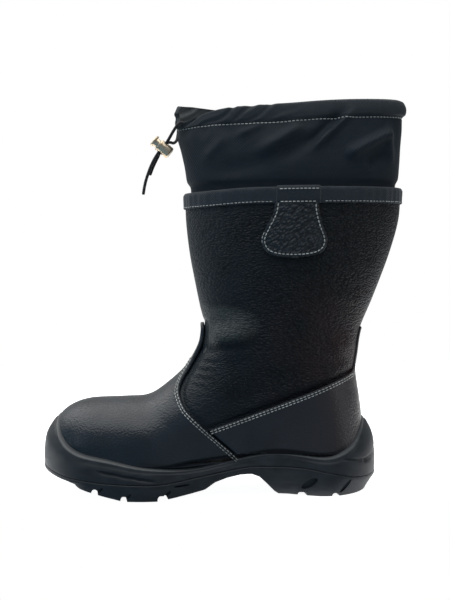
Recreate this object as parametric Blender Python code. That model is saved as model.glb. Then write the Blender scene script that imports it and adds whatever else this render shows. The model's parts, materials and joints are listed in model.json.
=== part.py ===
"""Pull-on work boot with a cloth snow cuff on top of its leather shaft. It is a left boot.

The boot is drawn in millimetres. A station x runs from the sole's toe tip back to the heel, y runs from
the outer (lateral) side at -y to the inner (medial) side at +y, and z is the height over the floor.
The root empty then puts the middle of the boot's footprint box at the origin.
"""

import math

import bmesh
import bpy
import numpy as np
from mathutils import Matrix, Vector

MM = 0.001
GAP = 0.3
COLUMNS = 32
SOLE_COLUMNS = 38

# Thicknesses of the sheet goods
UPPER_WALL = 2.5
PANEL_WALL = 1.5
BINDING_WALL = 1.1
STRAP_WALL = 1.2
TAB_WALL = 2.0
CUFF_WALL = 1.2
HEM_WALL = 3.6
INSOLE_WALL = 4.0

# Upper: one row for each section, from the feather edge to the collar. A section is a ring that is flat
# between a point on the front line and a point on the back line, and dips by the last column at the ball.
SECTION_COLUMNS = ("front_x", "front_z", "back_x", "back_z", "ball_dip")
SECTIONS = np.array((
    (13.0, 29.0, 290.0, 29.0, 9.8),
    (9.0, 43.0, 293.5, 36.0, 9.0),
    (11.0, 57.5, 293.4, 43.0, 6.0),
    (21.0, 72.0, 292.6, 50.0, 3.0),
    (41.3, 80.5, 291.6, 57.5, 1.0),
    (74.0, 82.4, 290.6, 66.0, 0.0),
    (97.6, 85.3, 289.7, 75.0, 0.0),
    (117.2, 98.2, 288.5, 85.0, 0.0),
    (134.3, 114.2, 287.0, 95.0, 0.0),
    (145.2, 132.3, 286.0, 108.0, 0.0),
    (149.8, 151.0, 288.4, 122.0, 0.0),
    (146.6, 167.0, 293.0, 145.0, 0.0),
    (142.5, 187.0, 304.0, 173.0, 0.0),
    (137.5, 215.0, 319.0, 211.0, 0.0),
    (134.2, 244.0, 328.5, 243.0, 0.0),
    (133.0, 270.5, 331.0, 270.5, 0.0),
))
FEATHER, COLLAR = 0.0, 15.0
FOOT_RINGS = [0, 0.5, 1, 1.5, 2, 2.5, 3, 3.5, 4, 5, 6, 7, 8]
VAMP_RINGS = FOOT_RINGS + [9, 10, 10.5]
COUNTER_RINGS = FOOT_RINGS + [9, 10, 11, 11.3]
UPPER_RINGS = FOOT_RINGS + [9, 10, 11, 12, 13, 14, 14.62, 15]
DIP_AT = (0.0, 0.2, 0.4, 0.55, 0.68, 0.9, 1.0)
DIP_SHARE = (0.0, -0.1, -0.2, 0.35, 1.0, 0.43, 0.0)

# Half width of the foot along its length, and of the shaft up its height with the depth of its rounding
FOOT_COLUMNS = ("station", "half_width")
FOOT = np.array(((15, 44.0), (45, 46.0), (75, 48.5), (100, 49.5), (140, 43.5), (185, 36.0), (225, 36.0),
                 (265, 37.0)))
SHAFT_COLUMNS = ("height", "half_width", "rounding")
SHAFT = np.array(((100, 43.0, 64.0), (150, 44.0, 72.0), (200, 48.0, 86.0), (240, 51.0, 96.0),
                  (272, 52.0, 99.0)))
FOOT_ROUNDING = 38.0
SHAFT_STARTS, SHAFT_RULES = 55.0, 150.0
FEATHER_TUCK = 0.06
TOE_IN, TOE_IN_FROM, TOE_IN_TO = 7.0, 120.0, 10.0
ARCH_OUT, ARCH_AT, ARCH_REACH = 3.0, 185.0, 65.0
LASTING_MARGIN = 14.0

# Panel seams in side view
VAMP_SEAM_COLUMNS = ("height", "station")
VAMP_SEAM = np.array(((20, 194.0), (37, 178.0), (49, 164.5), (61, 151.0), (70, 141.0), (77, 134.0), (84, 130.5),
                      (92, 131.0), (101, 136.0), (111, 142.0), (124, 148.0), (133, 150.5), (140, 151.6),
                      (147, 151.6), (153, 149.4)))
VAMP_TOP = 153.0
COUNTER_SEAM_COLUMNS = ("station", "height")
COUNTER_SEAM = np.array(((150, 59.0), (180, 68.5), (207, 78.0), (234, 88.0), (261, 98.5), (281, 106.0)))
# The counter's tongue up the back, from the seam's last point
TONGUE_SIDE = ((284.0, 109.5), (285.4, 114.0), (287.0, 122.0), (289.6, 133.0), (292.5, 144.0),
               (294.0, 147.0), (304.0, 149.0))

# Sole wall: rows by the angle round the outline, from the middle of the heel to the tip of the toe.
# The outs are measured from the upper's widest ring.
WALL_COLUMNS = ("angle", "rim_z", "belly_z", "rim_out", "belly_out", "line_out", "edge_out")
WALL = np.array((
    (0, 66.0, 37.0, 0.0, 10.2, 10.2, 2.0),
    (6, 65.4, 36.6, 0.2, 10.1, 10.1, 2.3),
    (16, 58.5, 33.0, 1.4, 9.2, 9.4, 3.4),
    (28, 44.0, 28.5, 2.8, 7.4, 7.8, 4.6),
    (42, 34.5, 26.0, 3.2, 6.4, 7.0, 6.0),
    (67, 38.7, 32.0, 3.2, 5.0, 5.6, 4.0),
    (95, 27.0, 23.0, 3.6, 6.0, 6.8, 5.6),
    (112, 26.0, 20.5, 4.0, 7.0, 7.8, 6.6),
    (144, 39.5, 27.0, 4.0, 8.0, 8.6, 6.4),
    (162, 60.0, 35.0, 1.2, 8.8, 8.8, 5.0),
    (173, 70.6, 41.4, -2.6, 9.0, 8.8, 3.4),
    (180, 71.6, 42.0, -3.2, 9.0, 8.8, 3.0),
))
WIDEST = 1.0
LINE_STEP = 1.2
RIM_INSET = 12.0
SOLE_BELOW = 4.0

# Side view of the sole: the ground line, and the parting line between outsole and midsole
GROUND_COLUMNS = ("station", "height")
GROUND = np.array(((-4, 24.0), (4, 20.5), (16, 16.5), (31, 12.0), (45, 8.0), (60, 4.0), (78, 0.0), (108, 0.0),
                   (124, 3.2), (137, 6.8), (149, 10.5), (158, 15.5), (168, 19.0), (180, 21.0), (190, 21.2),
                   (197, 18.5), (203, 12.5), (210, 3.5), (213, 0.0), (284, 0.0), (292, 2.0), (299, 7.5), (310, 20.0)))
PARTING_COLUMNS = ("station", "height")
PARTING = np.array(((-4, 27.0), (18, 20.5), (38, 17.0), (60, 15.4), (90, 14.4), (115, 14.8), (150, 20.5), (185, 26.3),
                    (205, 26.6), (233, 25.0), (260, 20.0), (278, 15.8), (292, 16.5), (310, 25.0)))

# Lugs: stations of the cross grooves, with the station step towards the middle of the sole
GROOVES = (27.0, 46.0, 72.0, 106.0, 229.0, 261.0)
GROOVE_WIDTH, GROOVE_DEPTH, GROOVE_SWEEP = 5.5, 3.6, math.radians(10)
CHANNELS_Y = (-15.0, 15.0)
CHANNEL_WIDTH, CHANNEL_DEPTH = 5.0, 3.2
NOTCH_SIZE = (5.0, 9.0, 13.0)
NOTCH_LEAN = math.radians(35)
# Grooves along the side wall: start and end angle in degrees, start and end height
RIBS = ((122.0, 141.0, 18.6, 27.5), (14.0, 31.0, 31.0, 25.6))
RIB_WIDTH, RIB_DEPTH, RIB_STEPS = 1.6, 1.1, 6

# Collar binding, pull strap and pull tab
BINDING_LOW, BINDING_LOW_INSIDE = 14.62, 14.7
STRAP_FROM, STRAP_TO, STRAP_LOW = 213.0, 251.0, 260.2
TAB_COLUMNS = ("station", "height")
TAB_SIDE = np.array(((213.5, 259.6), (213.0, 250.0), (208.5, 239.0), (204.2, 229.0), (204.0, 221.5), (208.0, 216.0),
                     (217.0, 212.6), (230.0, 211.6), (243.0, 212.6), (252.0, 216.0), (256.0, 221.5), (255.8, 229.0),
                     (252.5, 239.0), (250.5, 250.0), (250.2, 259.6)))

# Snow cuff: one row for each level of its outer face, up to the hem's crown
CUFF_COLUMNS = ("front_x", "back_x", "front_z", "back_z", "half_width", "front_point")
CUFF = np.array((
    (138.4, 325.8, 258.0, 258.0, 46.8, 0.0),
    (138.2, 326.0, 274.2, 274.2, 46.9, 0.0),
    (134.8, 329.2, 281.0, 281.0, 48.4, 0.0),
    (134.0, 329.4, 294.0, 294.0, 47.2, 0.05),
    (130.5, 330.2, 309.0, 310.0, 44.0, 0.12),
    (126.8, 332.5, 321.0, 325.0, 40.0, 0.2),
    (126.0, 333.6, 331.0, 338.0, 36.8, 0.3),
    (124.8, 336.8, 336.0, 343.0, 37.4, 0.32),
    (124.4, 337.4, 343.0, 349.5, 37.0, 0.35),
    (124.8, 335.0, 349.0, 355.6, 35.6, 0.35),
    (126.4, 331.0, 351.0, 357.5, 34.2, 0.35),
))
CUFF_STITCH = 6
MOUTH_SAG, MOUTH_AT, MOUTH_REACH = 7.0, math.radians(160), math.radians(20)

# Drawcord routes, chosen by hand: from the mouth of the hem, through the lock, to the free end
CORD_DIAMETER = 2.8
LONG_CORD = ((131.2, -9.42, 334.5), (129.1, -11.5, 334.0), (126.5, -12.7, 331.0), (123.2, -11.2, 326.4),
             (120.0, -8.0, 321.6), (117.4, -5.9, 317.7), (115.0, -5.55, 314.8), (113.0, -5.55, 312.5),
             (110.2, -5.55, 309.1), (107.2, -5.7, 304.8), (104.2, -5.9, 299.6), (101.6, -6.0, 294.0),
             (99.3, -6.0, 288.0), (97.4, -6.0, 282.2), (96.0, -6.0, 276.4), (95.0, -6.0, 270.5))
SHORT_CORD = ((131.05, 9.22, 338.6), (129.0, 11.2, 338.1), (127.1, 12.6, 333.6), (125.6, 11.7, 327.8),
              (124.2, 8.2, 323.2), (121.9, 3.2, 320.6), (119.2, -0.6, 319.2), (117.0, -2.2, 317.2),
              (115.0, -2.45, 314.8), (113.0, -2.45, 312.5), (110.2, -2.4, 309.1), (107.2, -2.2, 304.8),
              (104.6, -1.8, 300.4), (102.6, -1.4, 296.2))
CORD_POINTS = 26

# Cord lock: a barrel on the slanting axis, with a sprung plunger at its upper end
LOCK_AT = (113.0, -4.0, 312.5)
LOCK_AXIS = (-0.764, 0.0, 0.645)
BARREL_RADIUS, BARREL_LOW, BARREL_HIGH = 5.8, -9.0, 4.4
BORE_RADIUS, BORE_LOW = 4.5, -7.8
STEM_RADIUS, STEM_LOW = 4.2, -3.9
HEAD_RADIUS, HEAD_LOW, HEAD_HIGH = 5.6, 8.4, 10.8
SLOT_WIDTH, SLOT_HALF = 6.5, 1.75
PRESS_TRAVEL = 3.5
TURNED_STEPS = 20

MATERIALS = {
    "shaft_leather": ((0.012, 0.015, 0.018), 0.48, 0.0),
    "panel_leather": ((0.016, 0.018, 0.02), 0.42, 0.0),
    "sole_rubber": ((0.014, 0.016, 0.019), 0.55, 0.0),
    "cuff_cloth": ((0.01, 0.014, 0.02), 0.6, 0.0),
    "binding_cloth": ((0.014, 0.018, 0.023), 0.75, 0.0),
    "insole_felt": ((0.05, 0.05, 0.052), 0.9, 0.0),
    "cord_braid": ((0.01, 0.01, 0.011), 0.7, 0.0),
    "lock_nickel": ((0.62, 0.61, 0.55), 0.22, 1.0),
}


def spline(knots, values, at):
    """Smooth curve through the values at the knots: a cubic with Catmull-Rom slopes."""
    knots, values, at = (np.asarray(a, float) for a in (knots, values, at))
    slopes = np.empty_like(values)
    slopes[1:-1] = (values[2:] - values[:-2]) / (knots[2:] - knots[:-2])
    slopes[0] = (values[1] - values[0]) / (knots[1] - knots[0])
    slopes[-1] = (values[-1] - values[-2]) / (knots[-1] - knots[-2])
    i = np.clip(np.searchsorted(knots, at, side="right") - 1, 0, len(knots) - 2)
    step = knots[i + 1] - knots[i]
    u = np.clip((at - knots[i]) / step, 0.0, 1.0)
    rise = u * u * (3 - 2 * u)
    leave, arrive = u * (1 - u) ** 2, u * u * (1 - u)
    return values[i] + (values[i + 1] - values[i]) * rise + step * (slopes[i] * leave - slopes[i + 1] * arrive)


def smoothstep(low, high, at):
    u = np.clip((np.asarray(at, float) - low) / (high - low), 0.0, 1.0)
    return u * u * (3 - 2 * u)


def column(table, names, name, at):
    """One named column of a table, read smoothly at places along its first column."""
    return spline(table[:, 0], table[:, names.index(name)], at)


def section(t):
    """Front point, back point and dip of the upper's section t."""
    rows = np.arange(len(SECTIONS))
    return [spline(rows, SECTIONS[:, i], t) for i in range(len(SECTION_COLUMNS))]


def outline_points(steps=160):
    """Points along the upper's front line and back line, in side view."""
    front_x, front_z, back_x, back_z, _ = section(np.linspace(FEATHER, COLLAR, steps))
    return [np.stack(line, axis=1) for line in ((front_x, front_z), (back_x, back_z))]


OUTLINE = outline_points()


def distance_to_outline(x, z):
    """Shortest distance, in side view, from each point to the front and back lines."""
    points = np.stack([np.ravel(x), np.ravel(z)], axis=1)[:, None, :]
    nearest = np.full(points.shape[0], np.inf)
    for line in OUTLINE:
        start, run = line[:-1], np.diff(line, axis=0)
        along = np.clip(((points - start) * run).sum(2) / (run * run).sum(1), 0.0, 1.0)
        nearest = np.minimum(nearest, np.linalg.norm(points - start - along[..., None] * run, axis=2).min(1))
    return nearest.reshape(np.shape(x))


def half_width(x, z):
    """Half width of the upper at a point of its side view: full inside, rounded off towards the outline."""
    rule = smoothstep(SHAFT_STARTS, SHAFT_RULES, z)
    foot = column(FOOT, FOOT_COLUMNS, "half_width", x)
    shaft = column(SHAFT, SHAFT_COLUMNS, "half_width", z)
    depth = column(SHAFT, SHAFT_COLUMNS, "rounding", z)
    rounding = FOOT_ROUNDING + (depth - FOOT_ROUNDING) * rule
    inside = np.clip(distance_to_outline(x, z) / rounding, 0.0, 1.0)
    return (foot + (shaft - foot) * rule) * np.sqrt(1 - (1 - inside) ** 2)


def centre_line(x, z):
    """Left or right curve of the last: the toe turns inwards, and the waist stands outwards over the arch."""
    toe = TOE_IN * (1 - smoothstep(TOE_IN_TO, TOE_IN_FROM, x))
    waist = ARCH_OUT * (1 - smoothstep(0.0, ARCH_REACH, np.abs(x - ARCH_AT))) * (1 - smoothstep(40.0, 90.0, z))
    return toe - waist


def upper_surface(t, angle):
    """Points of the upper's outer face at section t. The angle runs from the heel round the lateral side."""
    t, angle = np.broadcast_arrays(np.asarray(t, float), np.asarray(angle, float))
    front_x, front_z, back_x, back_z, dip = section(t)
    share = (1 - np.cos(angle)) / 2
    x = back_x + (front_x - back_x) * share
    z = back_z + (front_z - back_z) * share - dip * spline(DIP_AT, DIP_SHARE, share)
    tuck = 1 - FEATHER_TUCK * np.clip(1 - t, 0.0, 1.0) ** 2
    y = centre_line(x, z) - np.sign(np.sin(angle)) * half_width(x, z) * tuck
    return np.stack([x, y, z], axis=-1)


def upper_normals(t, angle, step=0.02):
    """Outward unit normals of the upper's outer face."""
    along = upper_surface(np.minimum(t + step, COLLAR), angle) - upper_surface(np.maximum(t - step, FEATHER), angle)
    around = upper_surface(t, angle + step) - upper_surface(t, angle - step)
    normals = np.cross(along, around)
    return normals / np.linalg.norm(normals, axis=-1, keepdims=True)


def angles(count=COLUMNS):
    return np.arange(count) * 2 * math.pi / count


def upper_rings(rows, offset):
    """Rings of points at a distance outside the upper's outer face."""
    t, angle = np.meshgrid(np.asarray(rows, float), angles(), indexing="ij")
    return upper_surface(t, angle) + offset * upper_normals(t, angle)


def at_height(points, z):
    """The same points in plan, at one height."""
    moved = np.array(points)
    moved[..., 2] = z
    return moved


def in_plan(vectors):
    flat = vectors * (1.0, 1.0, 0.0)
    return flat / np.linalg.norm(flat, axis=-1, keepdims=True)


def sole_outline(angle):
    """Points and outward directions of the upper's widest ring, from which the sole's wall is measured."""
    t = np.full_like(angle, WIDEST)
    return upper_surface(t, angle), in_plan(upper_normals(t, angle))


def wall_column(name, angle):
    """A column of the sole wall's table, the same on the lateral and the medial side."""
    degrees = np.degrees(np.minimum(angle, 2 * math.pi - angle))
    return column(WALL, WALL_COLUMNS, name, degrees)


def sole_ring(out, height, angle):
    """A ring of the sole's wall, out from the upper's widest ring, at the given heights."""
    points, outwards = sole_outline(angle)
    ring = points + outwards * np.broadcast_to(out, angle.shape)[:, None]
    ring[:, 2] = height
    return ring


# Blender objects


def clear_scene():
    for obj in list(bpy.data.objects):
        bpy.data.objects.remove(obj)


def collection(name, parent=None):
    made = bpy.data.collections.new(name)
    (parent or bpy.context.scene.collection).children.link(made)
    return made


def material(name):
    """Principled material in the named finish."""
    found = bpy.data.materials.get(name)
    if found:
        return found
    colour, roughness, metallic = MATERIALS[name]
    made = bpy.data.materials.new(name)
    made.use_nodes = True
    shader = made.node_tree.nodes["Principled BSDF"]
    shader.inputs["Base Color"].default_value = (*colour, 1.0)
    shader.inputs["Roughness"].default_value = roughness
    shader.inputs["Metallic"].default_value = metallic
    made.diffuse_color = (*colour, 1.0)
    return made


def add_part(name, mesh, finish):
    """A named piece of the boot, shaded smooth except at its sharp edges."""
    mesh.shade_smooth()
    mesh.set_sharp_from_angle(angle=math.radians(40))
    mesh.materials.append(material(finish))
    obj = bpy.data.objects.new(name, mesh)
    PARTS.objects.link(obj)
    obj.parent = ROOT
    return obj


def add_cutter(name, mesh, group=None):
    """A shape that only cuts others."""
    obj = bpy.data.objects.new(name, mesh)
    (group or CUTTERS).objects.link(obj)
    obj.parent = ROOT
    obj.hide_render = True
    obj.display_type = "WIRE"
    return obj


def boolean(obj, operation, other):
    """A cut or an intersection with one object or with a whole collection."""
    modifier = obj.modifiers.new(f"{operation.lower()} {other.name}", "BOOLEAN")
    modifier.operation = operation
    modifier.solver = "EXACT"
    if isinstance(other, bpy.types.Collection):
        modifier.operand_type = "COLLECTION"
        modifier.collection = other
    else:
        modifier.object = other


def mesh_of(bm, name):
    """The finished mesh of a bmesh whose faces are turned outwards."""
    bmesh.ops.recalc_face_normals(bm, faces=bm.faces[:])
    mesh = bpy.data.meshes.new(name)
    bm.to_mesh(mesh)
    bm.free()
    return mesh


def lofted(name, rings, capped, turns_at=None):
    """A loft through rings of equal length: closed over its two ends, or round from the last ring to the first.

    Every patch is split into two triangles along the same diagonal. Rings from turns_at on run back along the
    first ones, so that sheets at different distances from one surface are split alike.
    """
    bm = bmesh.new()
    rows = [[bm.verts.new(Vector(p) * MM) for p in ring] for ring in rings]
    count = len(rows[0])
    pairs = list(zip(rows[:-1], rows[1:])) + ([] if capped else [(rows[-1], rows[0])])
    for i, (low, high) in enumerate(pairs):
        back = turns_at is not None and i >= turns_at
        for j in range(count):
            a, b, c, d = low[j], low[(j + 1) % count], high[(j + 1) % count], high[j]
            for corners in ((a, b, d), (b, c, d)) if back else ((a, b, c), (a, c, d)):
                bm.faces.new(corners)
    for row in (rows[0], rows[-1]) if capped else ():
        for j in range(count // 2):
            corners = (row[j], row[j + 1], row[(-j - 1) % count], row[-j % count])
            bm.faces.new(dict.fromkeys(corners))
    return mesh_of(bm, name)


def swept(name, sections):
    """A bar through sections of equal length, closed by a face at each end."""
    bm = bmesh.new()
    rows = [[bm.verts.new(Vector(p) * MM) for p in ring] for ring in sections]
    count = len(rows[0])
    for low, high in zip(rows[:-1], rows[1:]):
        for j in range(count):
            k = (j + 1) % count
            bm.faces.new((low[j], low[k], high[k], high[j]))
    bm.faces.new(rows[0])
    bm.faces.new(rows[-1])
    return mesh_of(bm, name)


def side_prism(name, points, low_y, high_y):
    """An outline of (station, height) points, extruded across the boot."""
    bm = bmesh.new()
    face = bm.faces.new([bm.verts.new(Vector((x, low_y, z)) * MM) for x, z in points])
    made = bmesh.ops.extrude_face_region(bm, geom=[face])["geom"]
    moved = [v for v in made if isinstance(v, bmesh.types.BMVert)]
    bmesh.ops.translate(bm, verts=moved, vec=(0.0, (high_y - low_y) * MM, 0.0))
    return mesh_of(bm, name)


def box(name, size, matrix):
    bm = bmesh.new()
    bmesh.ops.create_cube(bm, size=1.0, matrix=matrix @ Matrix.Diagonal((*[s * MM for s in size], 1.0)))
    return mesh_of(bm, name)


def turned(name, profile):
    """A shape turned about the z axis, from (radius, height) points that run down its outer side."""
    bm = bmesh.new()
    points = [bm.verts.new((r * MM, 0.0, h * MM)) for r, h in profile]
    edges = [bm.edges.new(pair) for pair in zip(points[:-1], points[1:])]
    bmesh.ops.spin(bm, geom=points + edges, cent=(0, 0, 0), axis=(0, 0, 1), angle=2 * math.pi,
                   steps=TURNED_STEPS, use_merge=True)
    bmesh.ops.remove_doubles(bm, verts=bm.verts[:], dist=0.0001 * MM)
    return mesh_of(bm, name)


# Upper and its panels


def feather_height(x):
    """Height of the upper's lower edge along the boot."""
    front_x, front_z, back_x, _, dip = SECTIONS[0]
    return front_z - dip * spline(DIP_AT, DIP_SHARE, (back_x - x) / (back_x - front_x))


def feather_ring(inset, rise):
    """The upper's lower edge, drawn in towards the middle of the foot and lifted."""
    turn = in_plan(upper_normals(np.zeros(COLUMNS), angles()))
    ring = upper_rings([FEATHER], 0.0)[0] - turn * inset
    return at_height(ring, feather_height(ring[:, 0]) + rise)


def build_upper():
    """The hollow upper: outer face, collar edge, inner face, and the lasting margin turned in underneath."""
    outer = upper_rings(UPPER_RINGS, 0.0)
    inner = upper_rings(UPPER_RINGS, -UPPER_WALL)
    inner[-1] = at_height(inner[-1], outer[-1, :, 2])
    inner[0] = feather_ring(UPPER_WALL, UPPER_WALL)
    rings = [feather_ring(LASTING_MARGIN, 0.0), *outer, *inner[::-1], feather_ring(LASTING_MARGIN, UPPER_WALL)]
    add_part("upper", lofted("upper", rings, capped=False, turns_at=len(outer)), "shaft_leather")


def panel_shell(name, low, high, rows):
    """A closed sleeve between two distances outside the upper's face."""
    rings = [*upper_rings(rows, low), *upper_rings(rows, high)[::-1]]
    return lofted(name, rings, capped=False, turns_at=len(rows))


def build_panels():
    """Vamp and heel counter: parts of one sleeve over the upper, cut along their seams in side view."""
    heights = np.linspace(VAMP_SEAM[0, 0], VAMP_SEAM[-1, 0], 28)
    seam = np.stack([column(VAMP_SEAM, VAMP_SEAM_COLUMNS, "station", heights), heights], axis=1)
    front = seam[seam[:, 1] <= VAMP_TOP] - (GAP / 2, 0.0)
    vamp_outline = [*front, (100.0, VAMP_TOP), (-20.0, 100.0), (-20.0, VAMP_SEAM[0, 0])]
    stations = np.linspace(COUNTER_SEAM[0, 0], COUNTER_SEAM[-1, 0], 12)
    top = np.stack([stations, column(COUNTER_SEAM, COUNTER_SEAM_COLUMNS, "height", stations)], axis=1)
    behind = seam + (GAP / 2, 0.0)
    meet = np.interp(behind[:, 0], top[:, 0], top[:, 1], left=-1.0)
    lower_front = behind[(behind[:, 1] < meet - 1.0) & (behind[:, 1] < 61.0)]
    upper_edge = top[top[:, 0] > lower_front[-1, 0] + 2.0]
    counter_outline = [*lower_front, *upper_edge, *TONGUE_SIDE, (310.0, VAMP_SEAM[0, 0])]
    panels = (("vamp", vamp_outline, VAMP_RINGS), ("heel_counter", counter_outline, COUNTER_RINGS))
    for name, outline, rows in panels:
        sleeve = panel_shell(name, GAP, GAP + PANEL_WALL, rows)
        cutter = add_cutter(f"{name}_outline", side_prism(name, outline, -90.0, 90.0))
        boolean(add_part(name, sleeve, "panel_leather"), "INTERSECT", cutter)


def build_insole():
    """Footbed on the lasting margin, inside the upper's wall."""
    inset, rise = UPPER_WALL + 2 * GAP, UPPER_WALL + GAP
    rings = [feather_ring(inset, rise), feather_ring(inset, rise + INSOLE_WALL)]
    add_part("insole", lofted("insole", rings, capped=True), "insole_felt")


# Sole


def ground_height(x):
    return np.interp(x, GROUND[:, 0], GROUND[:, 1])


def parting_points():
    stations = np.linspace(PARTING[0, 0], PARTING[-1, 0], 24)
    return np.stack([stations, column(PARTING, PARTING_COLUMNS, "height", stations)], axis=1)


def build_midsole():
    """Moulded cup round the foot, with its toe bumper and heel guard, over the parting line."""
    around = angles(SOLE_COLUMNS)
    rim_z, belly_z = wall_column("rim_z", around), wall_column("belly_z", around)
    rim_out, belly_out = wall_column("rim_out", around), wall_column("belly_out", around)
    shoulder_z = belly_z + (rim_z - belly_z) * 0.6
    shoulder_out = rim_out + (belly_out - rim_out) * 0.62
    line_z = column(PARTING, PARTING_COLUMNS, "height", sole_outline(around)[0][:, 0])
    line_out = wall_column("line_out", around) - LINE_STEP
    rings = [
        sole_ring(line_out, line_z - SOLE_BELOW, around),
        sole_ring(line_out, line_z + 0.5, around),
        sole_ring(belly_out, belly_z, around),
        sole_ring(shoulder_out, shoulder_z, around),
        sole_ring(rim_out, rim_z, around),
        sole_ring(-RIM_INSET, rim_z - 1.5, around),
    ]
    midsole = add_part("midsole", lofted("midsole", rings, capped=True), "sole_rubber")
    above = [*(parting_points() + (0.0, GAP)), (320.0, 130.0), (-20.0, 130.0)]
    boolean(midsole, "INTERSECT", add_cutter("above_parting", side_prism("above_parting", above, -90.0, 90.0)))
    foot_form = upper_rings(FOOT_RINGS, GAP + PANEL_WALL + GAP)
    floor = foot_form[0] - (0.0, 0.0, GAP)
    cavity = lofted("foot_form", [floor, *foot_form], capped=True)
    boolean(midsole, "DIFFERENCE", add_cutter("foot_form", cavity))
    ribs = collection("ribs", CUTTERS)
    for start, end, start_z, end_z in RIBS:
        for side in (1, -1):
            add_cutter("rib", rib_cutter(start, end, start_z, end_z, side), ribs)
    boolean(midsole, "DIFFERENCE", ribs)


def rib_cutter(start, end, start_z, end_z, side):
    """A bar along the side wall that cuts a shallow groove."""
    degrees = np.linspace(start, end, RIB_STEPS)
    angle = np.radians(degrees) * side % (2 * math.pi)
    height = np.linspace(start_z, end_z, RIB_STEPS)
    belly_out, belly_z = wall_column("belly_out", angle), wall_column("belly_z", angle)
    rim_out, rim_z = wall_column("rim_out", angle), wall_column("rim_z", angle)
    share = np.clip((height - belly_z) / (rim_z - belly_z), 0.0, 1.0)
    wall_out = belly_out + (rim_out - belly_out) * share
    corners = [(-RIB_DEPTH, -0.5), (4.0, -0.5), (4.0, 0.5), (-RIB_DEPTH, 0.5)]
    lines = [sole_ring(wall_out + out, height + up * RIB_WIDTH, angle) for out, up in corners]
    return swept("rib", np.stack(lines, axis=1))


def build_outsole():
    """Tread: the outline under the parting line, cut to the ground line, with grooves between the lugs."""
    around = angles(SOLE_COLUMNS)
    edge_out, line_out = wall_column("edge_out", around), wall_column("line_out", around)
    stations = sole_outline(around)[0][:, 0]
    line_z = column(PARTING, PARTING_COLUMNS, "height", stations)
    rings = [
        sole_ring(edge_out, -SOLE_BELOW, around),
        sole_ring(edge_out, ground_height(stations), around),
        sole_ring(line_out, line_z - 3.0, around),
        sole_ring(line_out, line_z + SOLE_BELOW, around),
    ]
    outsole = add_part("outsole", lofted("outsole", rings, capped=True), "sole_rubber")
    between = [*GROUND, *parting_points()[::-1]]
    boolean(outsole, "INTERSECT", add_cutter("tread_band", side_prism("tread_band", between, -90.0, 90.0)))
    cross, along = collection("cross_grooves", CUTTERS), collection("channels_and_notches", CUTTERS)
    for station in GROOVES:
        for side in (-1, 1):
            add_cutter("groove", groove_cutter(station, side), cross)
            add_cutter("notch", notch_cutter(station, side), along)
    for y in CHANNELS_Y:
        floor = GROUND[(GROUND[:, 0] > 20) & (GROUND[:, 0] < 160) | (GROUND[:, 0] > 209) & (GROUND[:, 0] < 290)]
        for part in (floor[floor[:, 0] < 180], floor[floor[:, 0] > 180]):
            points = [*(part + (0.0, CHANNEL_DEPTH)), *(part - (0.0, 6.0))[::-1]]
            channel = side_prism("channel", points, y - CHANNEL_WIDTH / 2, y + CHANNEL_WIDTH / 2)
            add_cutter("channel", channel, along)
    boolean(outsole, "DIFFERENCE", cross)
    boolean(outsole, "DIFFERENCE", along)


def groove_cutter(station, side):
    """One side's half of a cross groove, swept back from the middle of the tread and as deep all along."""
    ends = []
    for reach in (0.02, 75.0):
        x = station + reach * math.tan(GROOVE_SWEEP)
        top = ground_height(x) + GROOVE_DEPTH
        half = GROOVE_WIDTH / 2
        ends.append([(x + dx, side * reach, z) for dx, z in ((-half, -8.0), (half, -8.0), (half, top), (-half, top))])
    return swept("groove", ends)


def notch_cutter(station, side):
    """The slanting end of a cross groove in the tread's side wall."""
    angle = angles(360)
    edge = sole_ring(wall_column("line_out", angle), 0.0, angle)
    edge = edge[np.sign(edge[:, 1]) == side]
    y_edge = edge[np.abs(edge[:, 0] - station - 9.0).argmin(), 1]
    place = Matrix.Translation(Vector((station + 9.0, y_edge + side * 1.5, ground_height(station) + 5.0)) * MM)
    return box("notch", NOTCH_SIZE, place @ Matrix.Rotation(NOTCH_LEAN, 4, "Y"))


# Collar


def build_binding():
    """Cloth binding folded over the leather's top edge: a band outside, over the top and inside."""
    near, far = upper_rings([BINDING_LOW, COLLAR], GAP), upper_rings([BINDING_LOW, COLLAR], GAP + BINDING_WALL)
    inside = -UPPER_WALL - GAP
    inner_near = upper_rings([BINDING_LOW_INSIDE, COLLAR], inside)
    inner_far = upper_rings([BINDING_LOW_INSIDE, COLLAR], inside - BINDING_WALL)
    crown = SECTIONS[-1, 1] + GAP
    rings = [
        near[0],
        at_height(near[1], crown),
        at_height(inner_near[1], crown),
        inner_near[0],
        inner_far[0],
        at_height(inner_far[1], crown + BINDING_WALL * 0.5),
        at_height(inner_near[1], crown + BINDING_WALL * 1.4),
        at_height(near[1], crown + BINDING_WALL * 1.4),
        at_height(far[1], crown + BINDING_WALL * 0.5),
        far[0],
    ]
    add_part("collar_binding", lofted("collar_binding", rings, capped=False), "binding_cloth")


def lateral_angle(station, t):
    """Angle of the lateral point of a section at a station."""
    around = np.linspace(0.0, math.pi, 400)
    x = upper_surface(np.full(400, t), around)[:, 0]
    return np.interp(-station, -x, around)


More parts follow.
